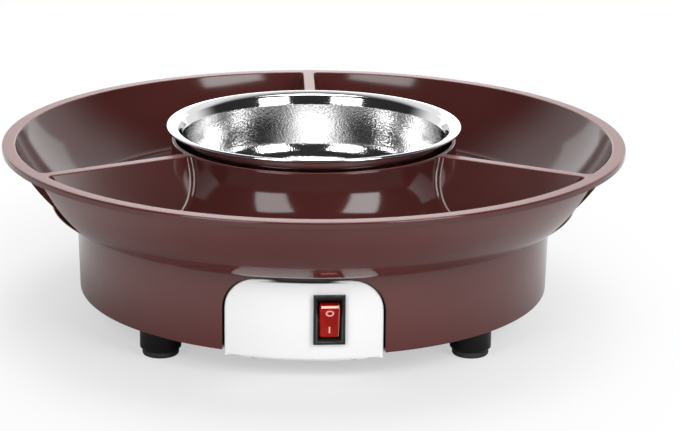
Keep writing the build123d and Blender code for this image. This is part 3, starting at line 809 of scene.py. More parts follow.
class Recipe:
    """A Geometry Nodes tree with named inputs, used as a maker of plain meshes."""

    def __init__(self, name: str, inputs: dict[str, str]) -> None:
        """Make the tree and build its nodes.

        Args:
            name: The tree's name.
            inputs: Socket types by name, after the geometry.
        """
        self.tree = bpy.data.node_groups.new(name, "GeometryNodeTree")
        sockets = self.tree.interface
        self.keys = {}
        kinds = {"Geometry": "NodeSocketGeometry", **inputs, "Finish": "NodeSocketMaterial"}
        for label, kind in kinds.items():
            self.keys[label] = sockets.new_socket(label, in_out="INPUT", socket_type=kind).identifier
        sockets.new_socket("Geometry", in_out="OUTPUT", socket_type="NodeSocketGeometry")
        self.graph = Graph(self.tree)
        self.entry = self.tree.nodes.new("NodeGroupInput")
        made = self.graph.add("GeometryNodeRealizeInstances", None, {"Geometry": self.shape()})
        dressed = {"Geometry": made, "Material": self.given("Finish")}
        made = self.graph.add("GeometryNodeSetMaterial", None, dressed)
        self.graph.add("NodeGroupOutput", None, {"Geometry": made})

    def given(self, label: str) -> Signal:
        """One of the tree's inputs."""
        return Signal(self.graph, self.entry.outputs[label])

    def shape(self) -> Signal:
        """The nodes that make the geometry."""
        raise NotImplementedError

    def make(self, name: str, points: Sequence[Sequence[float]], finish: Finish, **values: Any) -> Piece:
        """Run the tree.

        Args:
            name: The new object's name.
            points: The points that the tree starts from.
            finish: The finish that it sets.
            values: Its inputs by name.

        Returns:
            A new object with a plain mesh.
        """
        mesh = bpy.data.meshes.new(name)
        mesh.from_pydata([tuple(p) for p in points], [], [])
        made = linked(name, mesh)
        modifier = made.modifiers.new("recipe", "NODES")
        modifier.node_group = self.tree
        modifier[self.keys["Finish"]] = finish.material()
        for label, value in values.items():
            modifier[self.keys[label]] = value
        return settled(made)


class LatheRecipe(Recipe):
    """Turns a row of points in X and Z about the Z axis."""

    def __init__(self) -> None:
        """Name the inputs."""
        super().__init__("lathe", {"Segments": "NodeSocketInt"})

    def shape(self) -> Signal:
        """A grid whose columns are copies of the row, turned and closed."""
        row = self.given("Geometry")
        count = self.graph.add("GeometryNodeAttributeDomainSize", None, {"Geometry": row}, "Point Count")
        sizes = {"Vertices X": self.given("Segments") + 1, "Vertices Y": count}
        grid = self.graph.add("GeometryNodeMeshGrid", None, sizes)
        number = self.graph.add("GeometryNodeInputIndex")
        share = (number + 0.5) / count
        column = share.maths("FLOOR", share)
        spot = self.graph.add("GeometryNodeSampleIndex", {"data_type": "FLOAT_VECTOR"}, {
            "Geometry": row,
            "Value": self.graph.add("GeometryNodeInputPosition"),
            "Index": number - column * count,
        })
        swing = {"Vector": spot, "Angle": column * math.tau / self.given("Segments")}
        swung = self.graph.add("ShaderNodeVectorRotate", {"rotation_type": "Z_AXIS"}, swing)
        wheel = self.graph.add("GeometryNodeSetPosition", None, {"Geometry": grid, "Position": swung})
        return self.graph.add("GeometryNodeMergeByDistance", None, {"Geometry": wheel, "Distance": MERGE})


class RepeatRecipe(Recipe):
    """Puts copies of one model on points."""

    def __init__(self) -> None:
        """Name the inputs."""
        super().__init__("repeat", {"Model": "NodeSocketObject"})

    def shape(self) -> Signal:
        """One instance of the model on each point."""
        model = self.graph.add("GeometryNodeObjectInfo", None, {"Object": self.given("Model")}, "Geometry")
        inputs = {"Points": self.given("Geometry"), "Instance": model}
        return self.graph.add("GeometryNodeInstanceOnPoints", None, inputs)


def turned(name: str, outline: Outline, finish: Finish, segments: int = SEGMENTS,
           closed: bool = True) -> Piece:
    """A solid turned about the Z axis.

    Args:
        name: The object's name.
        outline: Points in radius and height, in order.
        finish: Its finish.
        segments: How many flats it has round the axis.
        closed: Whether the last point joins the first; otherwise both are on the axis.

    Returns:
        The new object.
    """
    row = [(r, 0.0, z) for r, z in outline + (outline[:1] if closed else [])]
    made = LATHE.make(name, row, finish, Segments=segments)
    mended(made.data)
    return made


def revolved(outline: Outline) -> np.ndarray:
    """Points of an outline in radius and height, turned round the Z axis, by turn and by point."""
    turns = np.radians(np.linspace(0, 360, SEGMENTS + 1))[:, None]
    r, z = np.array(outline).T
    rows = np.stack([r * np.cos(turns), r * np.sin(turns), z + 0 * turns], -1)
    rows[-1] = rows[0]
    return rows


def sleeve(name: str, levels: Sequence[tuple[float, Outline]], place: Place) -> Piece:
    """A closed tool whose outline changes with its depth under a curved surface.

    Args:
        name: The object's name.
        levels: Depths and the outlines there, each with as many points.
        place: Gives the point in the part's frame for a point of an outline and a depth.

    Returns:
        The new object.
    """
    loops = [[place(x, y, depth) for x, y in line] for depth, line in levels]
    return Patchwork().tube(loops).piece(name)


def rim_ease(size: float, slant: float, steps: int) -> Outline:
    """Depths and widenings of a cut's rounded rim, with a straight lead-in over the surface.

    Args:
        size: Radius of the rounding.
        slant: Angle in degrees at which the lead-in meets it.
        steps: Its chords.

    Returns:
        Pairs from over the surface down to the straight wall.
    """
    first = math.radians(slant)
    bends = [(size * (1 - math.cos(a)), size * (1 - math.sin(a)))
             for a in np.linspace(first, math.pi / 2, steps + 1)]
    depth, grow = bends[0]
    return [(-LEAD_IN, grow + (depth + LEAD_IN) / math.tan(first))] + bends


def eased(wall: float, size: float, outside: float, steps: int = 4) -> Outline:
    """Depths and widenings of a cut through a wall whose two rims are rounded.

    Args:
        wall: The wall's thickness.
        size: Radius of the roundings.
        outside: How far the cut runs out of the wall, so that its flat end clears the curve.
        steps: Chords of each rounding.

    Returns:
        Pairs from outside the wall to inside it.
    """
    rim = rim_ease(size, CUT_SLANT, steps)
    mouth = rim[0][1]
    inside = [(wall - depth, grow) for depth, grow in rim[::-1] + [(-CUT_PAST, mouth)]]
    return [(-outside, mouth)] + rim + inside


def oblong(half: float, low: float, high: float) -> Outline:
    """A rectangle that is centred across, from its low edge to its high one."""
    return [(half, low), (half, high), (-half, high), (-half, low)]


def rotation(degrees: float, axis: str) -> Matrix:
    """A turn about X, Y or Z."""
    return Matrix.Rotation(math.radians(degrees), 4, axis)


def prism(name: str, outline: Outline, low: float, high: float, to_frame: Matrix) -> Piece:
    """A straight prism.

    Args:
        name: The object's name.
        outline: Corner points across the prism.
        low: Its start along its own Z.
        high: Its end along its own Z.
        to_frame: Brings it from its own frame to the part's.

    Returns:
        The new object.
    """
    ends = [[tuple(to_frame @ Vector((x, y, z))) for x, y in outline] for z in (low, high)]
    return Patchwork().tube(ends).piece(name)


LATHE = LatheRecipe()
REPEAT = RepeatRecipe()


# The object


@dataclass(frozen=True)
class Flare:
    """The double arc that the housing and the tray share, in metres and degrees from the horizontal."""

    rim_radius: float
    rim_height: float
    rim_thickness: float = 2.0 * MM
    rim_overhang: float = 2.1 * MM
    radius: float = 70.0 * MM
    top_angle: float = 24.0
    low_angle: float = 53.0
    bulge_radius: float = 12.0 * MM

    @property
    def top(self) -> float:
        """Height of the housing's upper edge."""
        return self.rim_height - self.rim_thickness

    @property
    def centre(self) -> Pair:
        """Centre of the long arc."""
        turn = math.radians(self.top_angle)
        reach = self.rim_radius - self.rim_overhang
        return reach - self.radius * math.cos(turn), self.top + self.radius * math.sin(turn)

    @property
    def bulge_centre(self) -> Pair:
        """Centre of the tight arc below it."""
        turn = math.radians(self.low_angle)
        gap = self.radius - self.bulge_radius
        return self.centre[0] + gap * math.cos(turn), self.centre[1] - gap * math.sin(turn)

    @property
    def seam(self) -> float:
        """Height at which the bulge meets the skirt."""
        return self.bulge_centre[1] - self.bulge_radius

    def start_angle(self, inset: float, top: float) -> float:
        """The angle at which the long arc, moved inwards, reaches a height."""
        return math.degrees(math.asin((self.centre[1] - top) / (self.radius - inset)))

    def outline(self, inset: float, top: float, steps: tuple[int, int] = (26, 18)) -> Outline:
        """The two arcs, moved inwards, from a height down to the seam.

        Args:
            inset: How far they are moved inwards.
            top: The height at which they start.
            steps: Chords of the long arc and of the tight one.

        Returns:
            The points from the top down.
        """
        start = self.start_angle(inset, top)
        long = arc(self.centre, self.radius - inset, -start, -self.low_angle, steps[0])
        tight = arc(self.bulge_centre, self.bulge_radius - inset, -self.low_angle, -90.0, steps[1])
        return long + tight[1:]


@dataclass
class Panel:
    """Place and outline of the control panel in the skirt, in metres and degrees."""

    turn: float = -3.3
    half_width: float = 32.5 * MM
    corner: float = 13.5 * MM
    gap: float = 0.9 * MM
    recess: float = 1.6 * MM
    thickness: float = 2.2 * MM
    edge: float = 0.45 * MM
    chords: int = 24

    def frame(self) -> Matrix:
        """From the panel's own frame, X across and Y up, to the part's."""
        return rotation(self.turn, "Z") @ rotation(90.0, "X")

    def arch(self, grow: float, low: float, top: float) -> Outline:
        """An outline with rounded upper corners.

        Args:
            grow: How far its sides stand outside the panel's.
            low: Its lower end.
            top: Its upper end.

        Returns:
            The points, from the lower right corner over the top.
        """
        half, corner = self.half_width + grow, self.corner + grow
        right = arc((half - corner, top - corner), corner, 0.0, 90.0, self.chords)
        left = arc((corner - half, top - corner), corner, 90.0, 180.0, self.chords)
        return [(half, low)] + right + left + [(-half, low)]

    def on_skirt(self, radius: float) -> Place:
        """What places an outline's points at a depth under an upright cylinder.

        Args:
            radius: The cylinder's radius.

        Returns:
            A function of the two coordinates and the depth.
        """
        to_frame = self.frame()

        def place(x: float, y: float, depth: float) -> Triple:
            """The point in the part's frame."""
            return tuple(to_frame @ Vector((x, y, math.sqrt((radius - depth) ** 2 - x * x))))

        return place


@dataclass
class Housing:
    """The brown shell: flared wall, deck and skirt, with finger windows and the panel's arch."""

    flare: Flare
    panel: Panel
    wall: float = 1.8 * MM
    seam_step: float = 1.0 * MM
    seam_round: float = 0.6 * MM
    skirt_bottom: float = 12.0 * MM
    skirt_draft: float = 0.8 * MM
    skirt_round: float = 1.0 * MM
    arch_bridge: float = 1.6 * MM
    deck_hole: float = 46.0 * MM
    window_half_angle: float = 32.5
    window_bar: float = 2.0 * MM
    window_sill: float = 3.5 * MM
    window_corner: float = 2.5 * MM
    gland_height: float = 29.0 * MM
    gland_pad: float = 11.0 * MM
    gland_pad_proud: float = 0.6 * MM
    gland_pad_depth: float = 5.2 * MM
    gland_hole: float = 6.1 * MM
    gland_cut_reach: float = 9.0 * MM
    gland_segments: int = 96
    cut_round: float = 0.35 * MM
    arch_cut_reach: float = 12.0 * MM
    window_round: float = 0.8 * MM
    window_cut_reach: float = 40.0 * MM
    window_chords: int = 41
    corner_chords: int = 8
    round_chords: int = 6

    @property
    def skirt_radius(self) -> float:
        """Radius of the skirt at its top."""
        return self.flare.bulge_centre[0] - self.seam_step

    @property
    def arch_top(self) -> float:
        """Height of the arch over the panel."""
        return self.flare.seam - self.arch_bridge

    def outline(self) -> Outline:
        """The turned section, once round."""
        seam, deck = self.flare.seam, self.flare.seam + self.wall
        upper, low = self.skirt_radius, self.skirt_radius - self.skirt_draft
        inner, bottom, hole = low - self.wall, self.skirt_bottom, self.deck_hole
        outer = self.flare.outline(0.0, self.flare.top)
        inside = self.flare.outline(self.wall, self.flare.top)
        corner = rounded_corner(outer[-1], (upper, seam), (low, bottom), self.seam_round)
        foot = rounded_corner((upper, seam), (low, bottom), (inner, bottom), self.skirt_round)
        under = [(inner, bottom), (upper - self.wall, seam), (hole, seam), (hole, deck)]
        return outer + corner + foot + under + inside[::-1]

    def window(self, side: int) -> Piece:
        """The cutter of one finger window, with its rims rounded.

        Args:
            side: 1 for the right one, -1 for the left one.

        Returns:
            A tool whose outline lies on the flare.
        """
        flare, reach = self.flare, self.flare.rim_radius
        low = flare.seam + self.wall + self.window_sill
        high = flare.top - self.window_bar
        half = reach * math.radians(self.window_half_angle)

        def outline(grow: float) -> Outline:
            """The window's outline along the flare and up it."""
            corner = self.window_corner + grow
            loop: Outline = []
            for turn, (across, up) in enumerate(((1, 1), (-1, 1), (-1, -1), (1, -1))):
                side_on = across * (half + grow - corner)
                level = high + grow - corner if up > 0 else low - grow + corner
                loop += arc((side_on, level), corner, 90.0 * turn, 90.0 * turn + 90.0, self.corner_chords)
                if turn in (0, 2):
                    loop += [(side_on - across * 2 * half * share, high + grow if up > 0 else low - grow)
                             for share in np.linspace(0, 1, self.window_chords + 1)[1:-1]]
            return loop

        def place(along: float, up: float, depth: float) -> Triple:
            """A point at a depth under the flare."""
            span = flare.radius - depth
            radius = flare.centre[0] + math.sqrt(span ** 2 - (flare.centre[1] - up) ** 2)
            return side * radius * math.cos(along / reach), radius * math.sin(along / reach), up

        rims = eased(self.wall, self.window_round, self.window_cut_reach, self.round_chords)
        return sleeve("window_cutter", [(depth, outline(grow)) for depth, grow in rims], place)

    def build(self) -> Piece:
        """Turn the shell and cut its openings."""
        shell = turned("housing_shell", self.outline(), BROWN)
        face, wide, bore = self.skirt_radius + self.gland_pad_proud, self.gland_pad, self.gland_hole
        edge = rounded_corner((wide, 0.0), (wide, face), (0.0, face), self.cut_round)
        inner = face - self.gland_pad_depth
        near, far = inner - self.gland_cut_reach, face + self.gland_cut_reach
        disc = [(0.0, inner), (wide, inner)] + edge + [(0.0, face)]
        rod = [(0.0, near), (bore, near), (bore, far), (0.0, far)]
        pad = turned("gland_pad", disc, BROWN, self.gland_segments, False)
        hole = turned("gland_hole", rod, BROWN, self.gland_segments, False)
        out = Matrix.Translation((0.0, 0.0, self.gland_height)) @ rotation(-90.0, "X")
        for tool in (pad, hole):
            tool.data.transform(out)
        carve(shell, Cut.JOIN, pad)
        levels = [(depth, self.panel.arch(self.panel.gap + grow, 0.0, self.arch_top + grow))
                  for depth, grow in eased(self.wall, self.cut_round, self.arch_cut_reach)]
        arch = sleeve("arch_cutter", levels, self.panel.on_skirt(self.skirt_radius))
        carve(shell, Cut.REMOVE, self.window(1), self.window(-1), arch, hole)
        return smoothed(shell)

    def dress(self, shell: Piece) -> None:
        """Put the shell in the housing's place."""
        hand_over(shell, Body.BASE, BROWN, "housing")


@dataclass
class ServingTray:
    """The lift-out tray: rim, three compartments, dividers that widen downwards and a coved collar."""

    flare: Flare
    wall: float = 1.8 * MM
    housing_wall: float = 1.8 * MM
    nest_gap: float = 0.5 * MM
    lip_wall: float = 1.7 * MM
    lip_drop: float = 0.6 * MM
    edge_round: float = 0.8 * MM
    dividers: int = 3
    first_divider: float = 90.0
    divider_width: float = 5.0 * MM
    divider_draft: float = 20.0
    fillet: float = 3.0 * MM
    cove: float = 24.0 * MM
    collar_radius: float = 62.6 * MM
    rim_lifts: Pair = (0.5 * MM, -1.5 * MM)
    collar_lifts: Pair = (-2.0 * MM, 1.5 * MM)
    under_chords: int = 32
    wall_chords: int = 28
    bulge_chords: int = 14
    cove_chords: int = 36
    fillet_chords: int = 8
    floor_chords: int = 96
    edge_chords: int = 5

    @property
    def bottom(self) -> float:
        """Height of the tray's underside."""
        return self.flare.seam + self.housing_wall + self.nest_gap

    @property
    def floor(self) -> float:
        """Height of the compartments' floor."""
        return self.bottom + self.wall

    @property
    def cove_centre(self) -> Pair:
        """Centre of the cove between the collar and the floor."""
        return self.collar_radius + self.cove, self.floor + self.cove

    @property
    def slope(self) -> float:
        """Widening of a divider's side per height."""
        return math.tan(math.radians(self.divider_draft))

    def outline(self) -> Outline:
        """The turned skin, from the collar's top edge under the tray to the rim's."""
        rim, top, under = self.flare.rim_radius, self.flare.rim_height, self.flare.top
        lip, low = rim - self.lip_wall, under - self.lip_drop
        outer = self.flare.outline(self.housing_wall + self.nest_gap, under)
        cove = arc(self.cove_centre, self.cove + self.wall, -90.0, -180.0, self.under_chords)
        inner_edge = rounded_corner(cove[-1], (cove[-1][0], top), (rim, top), self.edge_round)
        outer_edge = rounded_corner((rim, low), (rim, top), (0.0, top), self.edge_round)
        lip_edge = [(lip, under), (lip, low), (rim, low)]
        return inner_edge[::-1] + cove[::-1] + outer[::-1] + lip_edge + outer_edge

    def trough(self) -> np.ndarray:
        """The section of a compartment, from just over the outer wall's rim to just over the collar's.

        Returns:
            Rows of radius, height and the two parts of the normal that points into the hollow.
        """
        inset = self.housing_wall + self.nest_gap + self.wall
        top = self.flare.rim_height
        rows: list[tuple[float, float, float, float]] = []

        def bend(centre: Pair, radius: float, first: float, last: float, steps: int) -> None:
            """Add an arc whose normals point to its centre."""
            for r, z in arc(centre, radius, first, last, steps):
                rows.append((r, z, (centre[0] - r) / radius, (centre[1] - z) / radius))

        over, under = (self.flare.start_angle(inset, top + lift) for lift in self.rim_lifts)
        low = self.flare.low_angle
        bend(self.flare.centre, self.flare.radius - inset, -over, -over, 0)
        bend(self.flare.centre, self.flare.radius - inset, -under, -low, self.wall_chords)
        bend(self.flare.bulge_centre, self.flare.bulge_radius - inset, -low, -90.0, self.bulge_chords)
        bend(self.cove_centre, self.cove, -90.0, -180.0, self.cove_chords)
        rows += [(self.collar_radius, top + lift, 1.0, 0.0) for lift in self.collar_lifts]
        apart = [b for a, b in zip(rows, rows[1:]) if math.dist(a[:2], b[:2]) > 10 * MERGE]
        return np.array(rows[:1] + apart)

    def basin(self) -> tuple[np.ndarray, np.ndarray]:
        """The inside of the compartment to the left of the +X divider, from divider to divider.

        Returns:
            Points, and normals into the hollow, by column across the compartment and row along its section.
        """
        r, z, nr, nz = self.trough().T
        ball, lean = self.fillet, math.radians(self.divider_draft)
        ball_r, ball_z = r + ball * nr, z + ball * nz
        plane = self.divider_width / 2 + (self.flare.rim_height - ball_z) * self.slope + ball / math.cos(lean)
        reach = np.sqrt(ball_r ** 2 - plane ** 2)
        turn = np.arctan2(plane, reach)
        centre = np.stack([reach, plane, ball_z], 1)
        off_divider = np.array([0.0, math.cos(lean), math.sin(lean)])
        off_wall = np.stack([nr * np.cos(turn), nr * np.sin(turn), nz], 1)
        swing = np.arccos(off_wall @ off_divider)[:, None]
        points, normals = [], []
        for share in np.linspace(0, 1, self.fillet_chords + 1):
            near, far = np.sin((1 - share) * swing), np.sin(share * swing)
            normals.append((near * off_divider + far * off_wall) / np.sin(swing))
            points.append(centre - ball * normals[-1])
        sector = math.tau / self.dividers
        cos, sin = math.cos(sector), math.sin(sector)
        mirror = np.array([[cos, sin, 0], [sin, -cos, 0], [0, 0, 1]])
        others = [[column @ mirror for column in side[::-1]] for side in (points, normals)]
        for share in np.linspace(0, 1, self.floor_chords + 1)[1:-1]:
            azimuth = turn + share * (sector - 2 * turn)
            points.append(np.stack([r * np.cos(azimuth), r * np.sin(azimuth), z], 1))
            normals.append(np.stack([nr * np.cos(azimuth), nr * np.sin(azimuth), nz], 1))
        return np.array(points + others[0]), np.array(normals + others[1])

    def rim_round(self, over: np.ndarray, under: np.ndarray, normal: np.ndarray) -> np.ndarray:
        """The rounding between the flat top and a wall that meets it.

        Args:
            over: Points of the wall over the top.
            under: Points of the wall under it.
            normal: The wall's normals there.

        Returns:
            Points by column and by row from the top down to the wall.
        """
        top, size = self.flare.rim_height, self.edge_round
        share = (over[:, 2:] - top) / (over[:, 2:] - under[:, 2:])
        edge = over + share * (under - over)
        level = normal * (1, 1, 0)
        level /= np.linalg.norm(level, axis=1)[:, None]
        swing = np.arccos(normal[:, 2:])
        centre = edge - level * size / np.tan(math.pi / 2 - swing / 2) - (0, 0, size)
        rows = []
        for part in np.linspace(0, 1, self.edge_chords + 1):
            up, out = np.sin((1 - part) * swing), np.sin(part * swing)
            rows.append(centre + size * (up * np.array([0, 0, 1]) + out * normal) / np.sin(swing))
        return np.stack(rows, 1)

    def sink(self, work: Patchwork, first: float) -> list[int]:
        """Add the faces of one compartment with its rounded rim.

        Args:
            work: What they are added to.
            first: Direction of the divider that it starts at, in degrees.

        Returns:
            The loop in which its rim meets the flat top.
        """
        points, normals = self.basin()
        outer = self.rim_round(points[:, 0], points[:, 1], normals[:, 0])
        inner = self.rim_round(points[:, -1], points[:, -2], normals[:, -1])
        spin = np.array(Matrix.Rotation(math.radians(first), 3, "Z"))
        rows = np.concatenate([outer, points[:, 1:-1], inner[:, ::-1]], 1) @ spin.T
        numbers = work.grid(rows)
        steps = outer.shape[1]
        for side in (numbers[0], numbers[-1]):
            work.face(side[steps - 1:len(side) - steps + 1])
            for i in range(steps - 1):
                work.face((side[i], side[i + 1], side[-i - 2], side[-i - 1]))
        return [*numbers[:, 0], *numbers[::-1, -1]]

    def core(self, angle: float) -> Piece:
        """The hollow under a divider, open below.

        Args:
            angle: The divider's direction in degrees.

        Returns:
            The cutter.
        """
        section = [(r, z) for r, z, _, _ in self.trough()]
        floor = next(i for i, (_, z) in enumerate(section) if z < self.floor + MERGE)
        under = self.bottom - MM
        section[floor + 1:floor + 1] = [(section[floor][0], under), (self.cove_centre[0], under)]
        ring = turned("divider_core", section, BROWN)
        half = self.divider_width / 2 - self.wall / math.cos(math.radians(self.divider_draft))
        top, low = self.flare.rim_height - self.wall, under - MM
        wide, narrow = (half + (self.flare.rim_height - z) * self.slope for z in (low, top))
        across = [(wide, low), (narrow, top), (-narrow, top), (-wide, low)]
        place = rotation(angle + 90.0, "Z") @ rotation(90.0, "X")
        return carve(ring, Cut.KEEP, prism("divider_inside", across, 0.0, self.flare.rim_radius, place))

    def build(self) -> Piece:
        """Close the turned skin with a flat top, sink the compartments and hollow the dividers."""
        work = Patchwork()
        skin = work.grid(revolved(self.outline()))
        angles = [self.first_divider + 360.0 / self.dividers * i for i in range(self.dividers)]
        rims = [self.sink(work, angle) for angle in angles]
        work.plate(skin[:-1, -1], skin[:-1, 0], *rims)
        tray = work.piece("serving_tray_moulding")
        return smoothed(carve(tray, Cut.REMOVE, *[self.core(angle) for angle in angles]))

    def dress(self, tray: Piece) -> None:
        """Put the moulding in the tray's place."""
        hand_over(tray, Body.TRAY, LINER, "serving_tray")


@dataclass
class MeltingBowl:
    """The loose steel bowl: beaded lip, crease, drafted wall and flat floor."""

    rim_height: float
    radius: float = 64.8 * MM
    throat: float = 58.6 * MM
    rise: float = 6.3 * MM
    gauge: float = 0.7 * MM
    bead: float = 0.8 * MM
    lip_fall: float = 4.6 * MM
    lip_wall: float = 2.6 * MM
    lip_rise: float = 70.0
    lip_bend: float = 2.0 * MM
    lip_spread: float = 27.0
    step: float = 0.6 * MM
    draft: float = 1.2 * MM
    corner: float = 11.0 * MM
    floor: float = 51.95 * MM
    flat: float = 40.0 * MM
    crease_round: float = 0.25 * MM
    bead_turn: float = 210.0
    sharp: float = 40.0
    bend_chords: int = 8
    crown_chords: int = 12
    corner_chords: int = 16
    bead_chords: int = 18

    def outline(self) -> Outline:
        """The section from the middle of the inside, over the lip, to the middle of the underside."""
        top = self.rim_height + self.rise
        bead = Vector((self.radius - self.bead, top - self.bead))
        crease = Vector((self.throat, top - self.lip_fall))
        wall_top = (self.throat - self.step, crease.y - self.step)
        rising, spread = math.radians(self.lip_rise), math.radians(self.lip_spread)
        knee = crease + Vector((math.cos(rising), math.sin(rising))) * self.lip_wall
        bend = knee + Vector((math.sin(rising), -math.cos(rising))) * self.lip_bend
        side = Vector((math.sin(spread), -math.cos(spread)))
        start = bend - side * self.lip_bend
        span = bead - start
        crown_radius = (span.length_squared - self.bead ** 2) / (2 * (span.dot(side) - self.bead))
        crown = start + side * crown_radius
        last = math.degrees(math.atan2(bead.y - crown.y, bead.x - crown.x))
        steep, flat = 90.0 + self.lip_rise, 90.0 + self.lip_spread
        skins = [arc(tuple(bend), self.lip_bend - inset, steep, flat, self.bend_chords)
                 + arc(tuple(crown), crown_radius - inset, flat, last, self.crown_chords)[1:]
                 for inset in (0.0, self.gauge)]
        foot = (wall_top[0] - self.draft, self.floor)
        inside = [(share * self.flat, self.floor) for share in (0.0, 0.25, 0.5, 0.75, 1.0)]
        inside += rounded_corner((0.0, self.floor), foot, wall_top, self.corner, self.corner_chords)
        inside += rounded_corner(foot, wall_top, tuple(crease), self.crease_round, 3) + skins[0][:-1]
        edge = arc(tuple(bead), self.bead, last, last - self.bead_turn, self.bead_chords)
        outer_wall = (wall_top[0] + self.gauge, wall_top[1])
        under = (foot[0] + self.gauge, self.floor - self.gauge)
        middle = (0.0, under[1])
        base = rounded_corner(outer_wall, under, middle, self.corner + self.gauge, self.corner_chords)
        return inside + edge + skins[1][::-1][1:] + [outer_wall] + base + [middle]

    def build(self) -> Piece:
        """Turn the bowl."""
        pressing = turned("melting_bowl_pressing", self.outline(), STEEL, closed=False)
        return smoothed(pressing, math.radians(self.sharp))

    def dress(self, bowl: Piece) -> None:
        """Put the pressing in the bowl's place."""
        hand_over(bowl, Body.BOWL, STEEL, "melting_bowl")


@dataclass
class ControlPanel:
    """The white panel that fills the arch, with its flange and foot behind."""

    flare: Flare
    panel: Panel
    housing: Housing
    overhang: float = 2.4 * MM
    flange: float = 3.5 * MM
    flange_gap: float = 0.4 * MM
    flange_thickness: float = 2.0 * MM
    foot_half_width: float = 26.0 * MM
    foot_reach: float = 12.0 * MM
    hole_turn: float = 5.85
    hole_height: float = 27.5 * MM
    hole: Pair = (11.2 * MM, 18.6 * MM)
    edge_slant: float = 10.0
    edge_chords: int = 5
    cutter_reach: float = 12.0 * MM
    cutter_margin: float = 5.0 * MM
    cutter_start: float = 60.0 * MM

    def ring(self, name: str, outer: float, thickness: float, low: float, high: float) -> Piece:
        """An upright ring."""
        inner = outer - thickness
        return turned(name, [(outer, high), (outer, low), (inner, low), (inner, high)], WHITE)

    def build(self) -> Piece:
        """Cut the face, flange and foot out of rings and join them."""
        panel, housing, spare = self.panel, self.housing, self.cutter_margin
        radius = housing.skirt_radius - panel.recess
        top = housing.arch_top - panel.gap
        low = housing.skirt_bottom - self.overhang
        ahead, reach = panel.frame(), (self.cutter_start, self.flare.rim_radius)
        face = self.ring("control_panel_moulding", radius, panel.thickness, low - spare, top + spare)
        rim = rim_ease(panel.edge, self.edge_slant, self.edge_chords)
        levels = [(depth, panel.arch(-grow, low + grow, top - grow))
                  for depth, grow in [(-self.cutter_reach, rim[0][1])] + rim + [(CUT_PAST, 0.0)]]
        carve(face, Cut.KEEP, sleeve("face_arch", levels, panel.on_skirt(radius)))
        back = housing.skirt_radius - housing.skirt_draft - housing.wall - self.flange_gap
        flange = self.ring("panel_flange", back, self.flange_thickness, housing.skirt_bottom, self.flare.seam)
        arch = panel.arch(self.flange, low, top + panel.gap + panel.thickness / 2)
        carve(flange, Cut.KEEP, prism("flange_arch", arch, *reach, ahead))
        foot = self.ring("panel_foot", radius - MM, self.foot_reach, low, low + panel.thickness)
        box = oblong(self.foot_half_width, low - MM, low + spare)
        carve(foot, Cut.KEEP, prism("foot_box", box, *reach, ahead))
        carve(face, Cut.JOIN, flange, foot)
        half, tall = self.hole[0] / 2, self.hole[1] / 2
        opening = oblong(half, self.hole_height - tall, self.hole_height + tall)
        spin = rotation(self.hole_turn, "Z") @ ahead
        carve(face, Cut.REMOVE, prism("switch_hole", opening, *reach, spin))
        return smoothed(face)

    def dress(self, face: Piece) -> None:
        """Put the moulding in the panel's place."""
        hand_over(face, Body.BASE, WHITE, "control_panel")


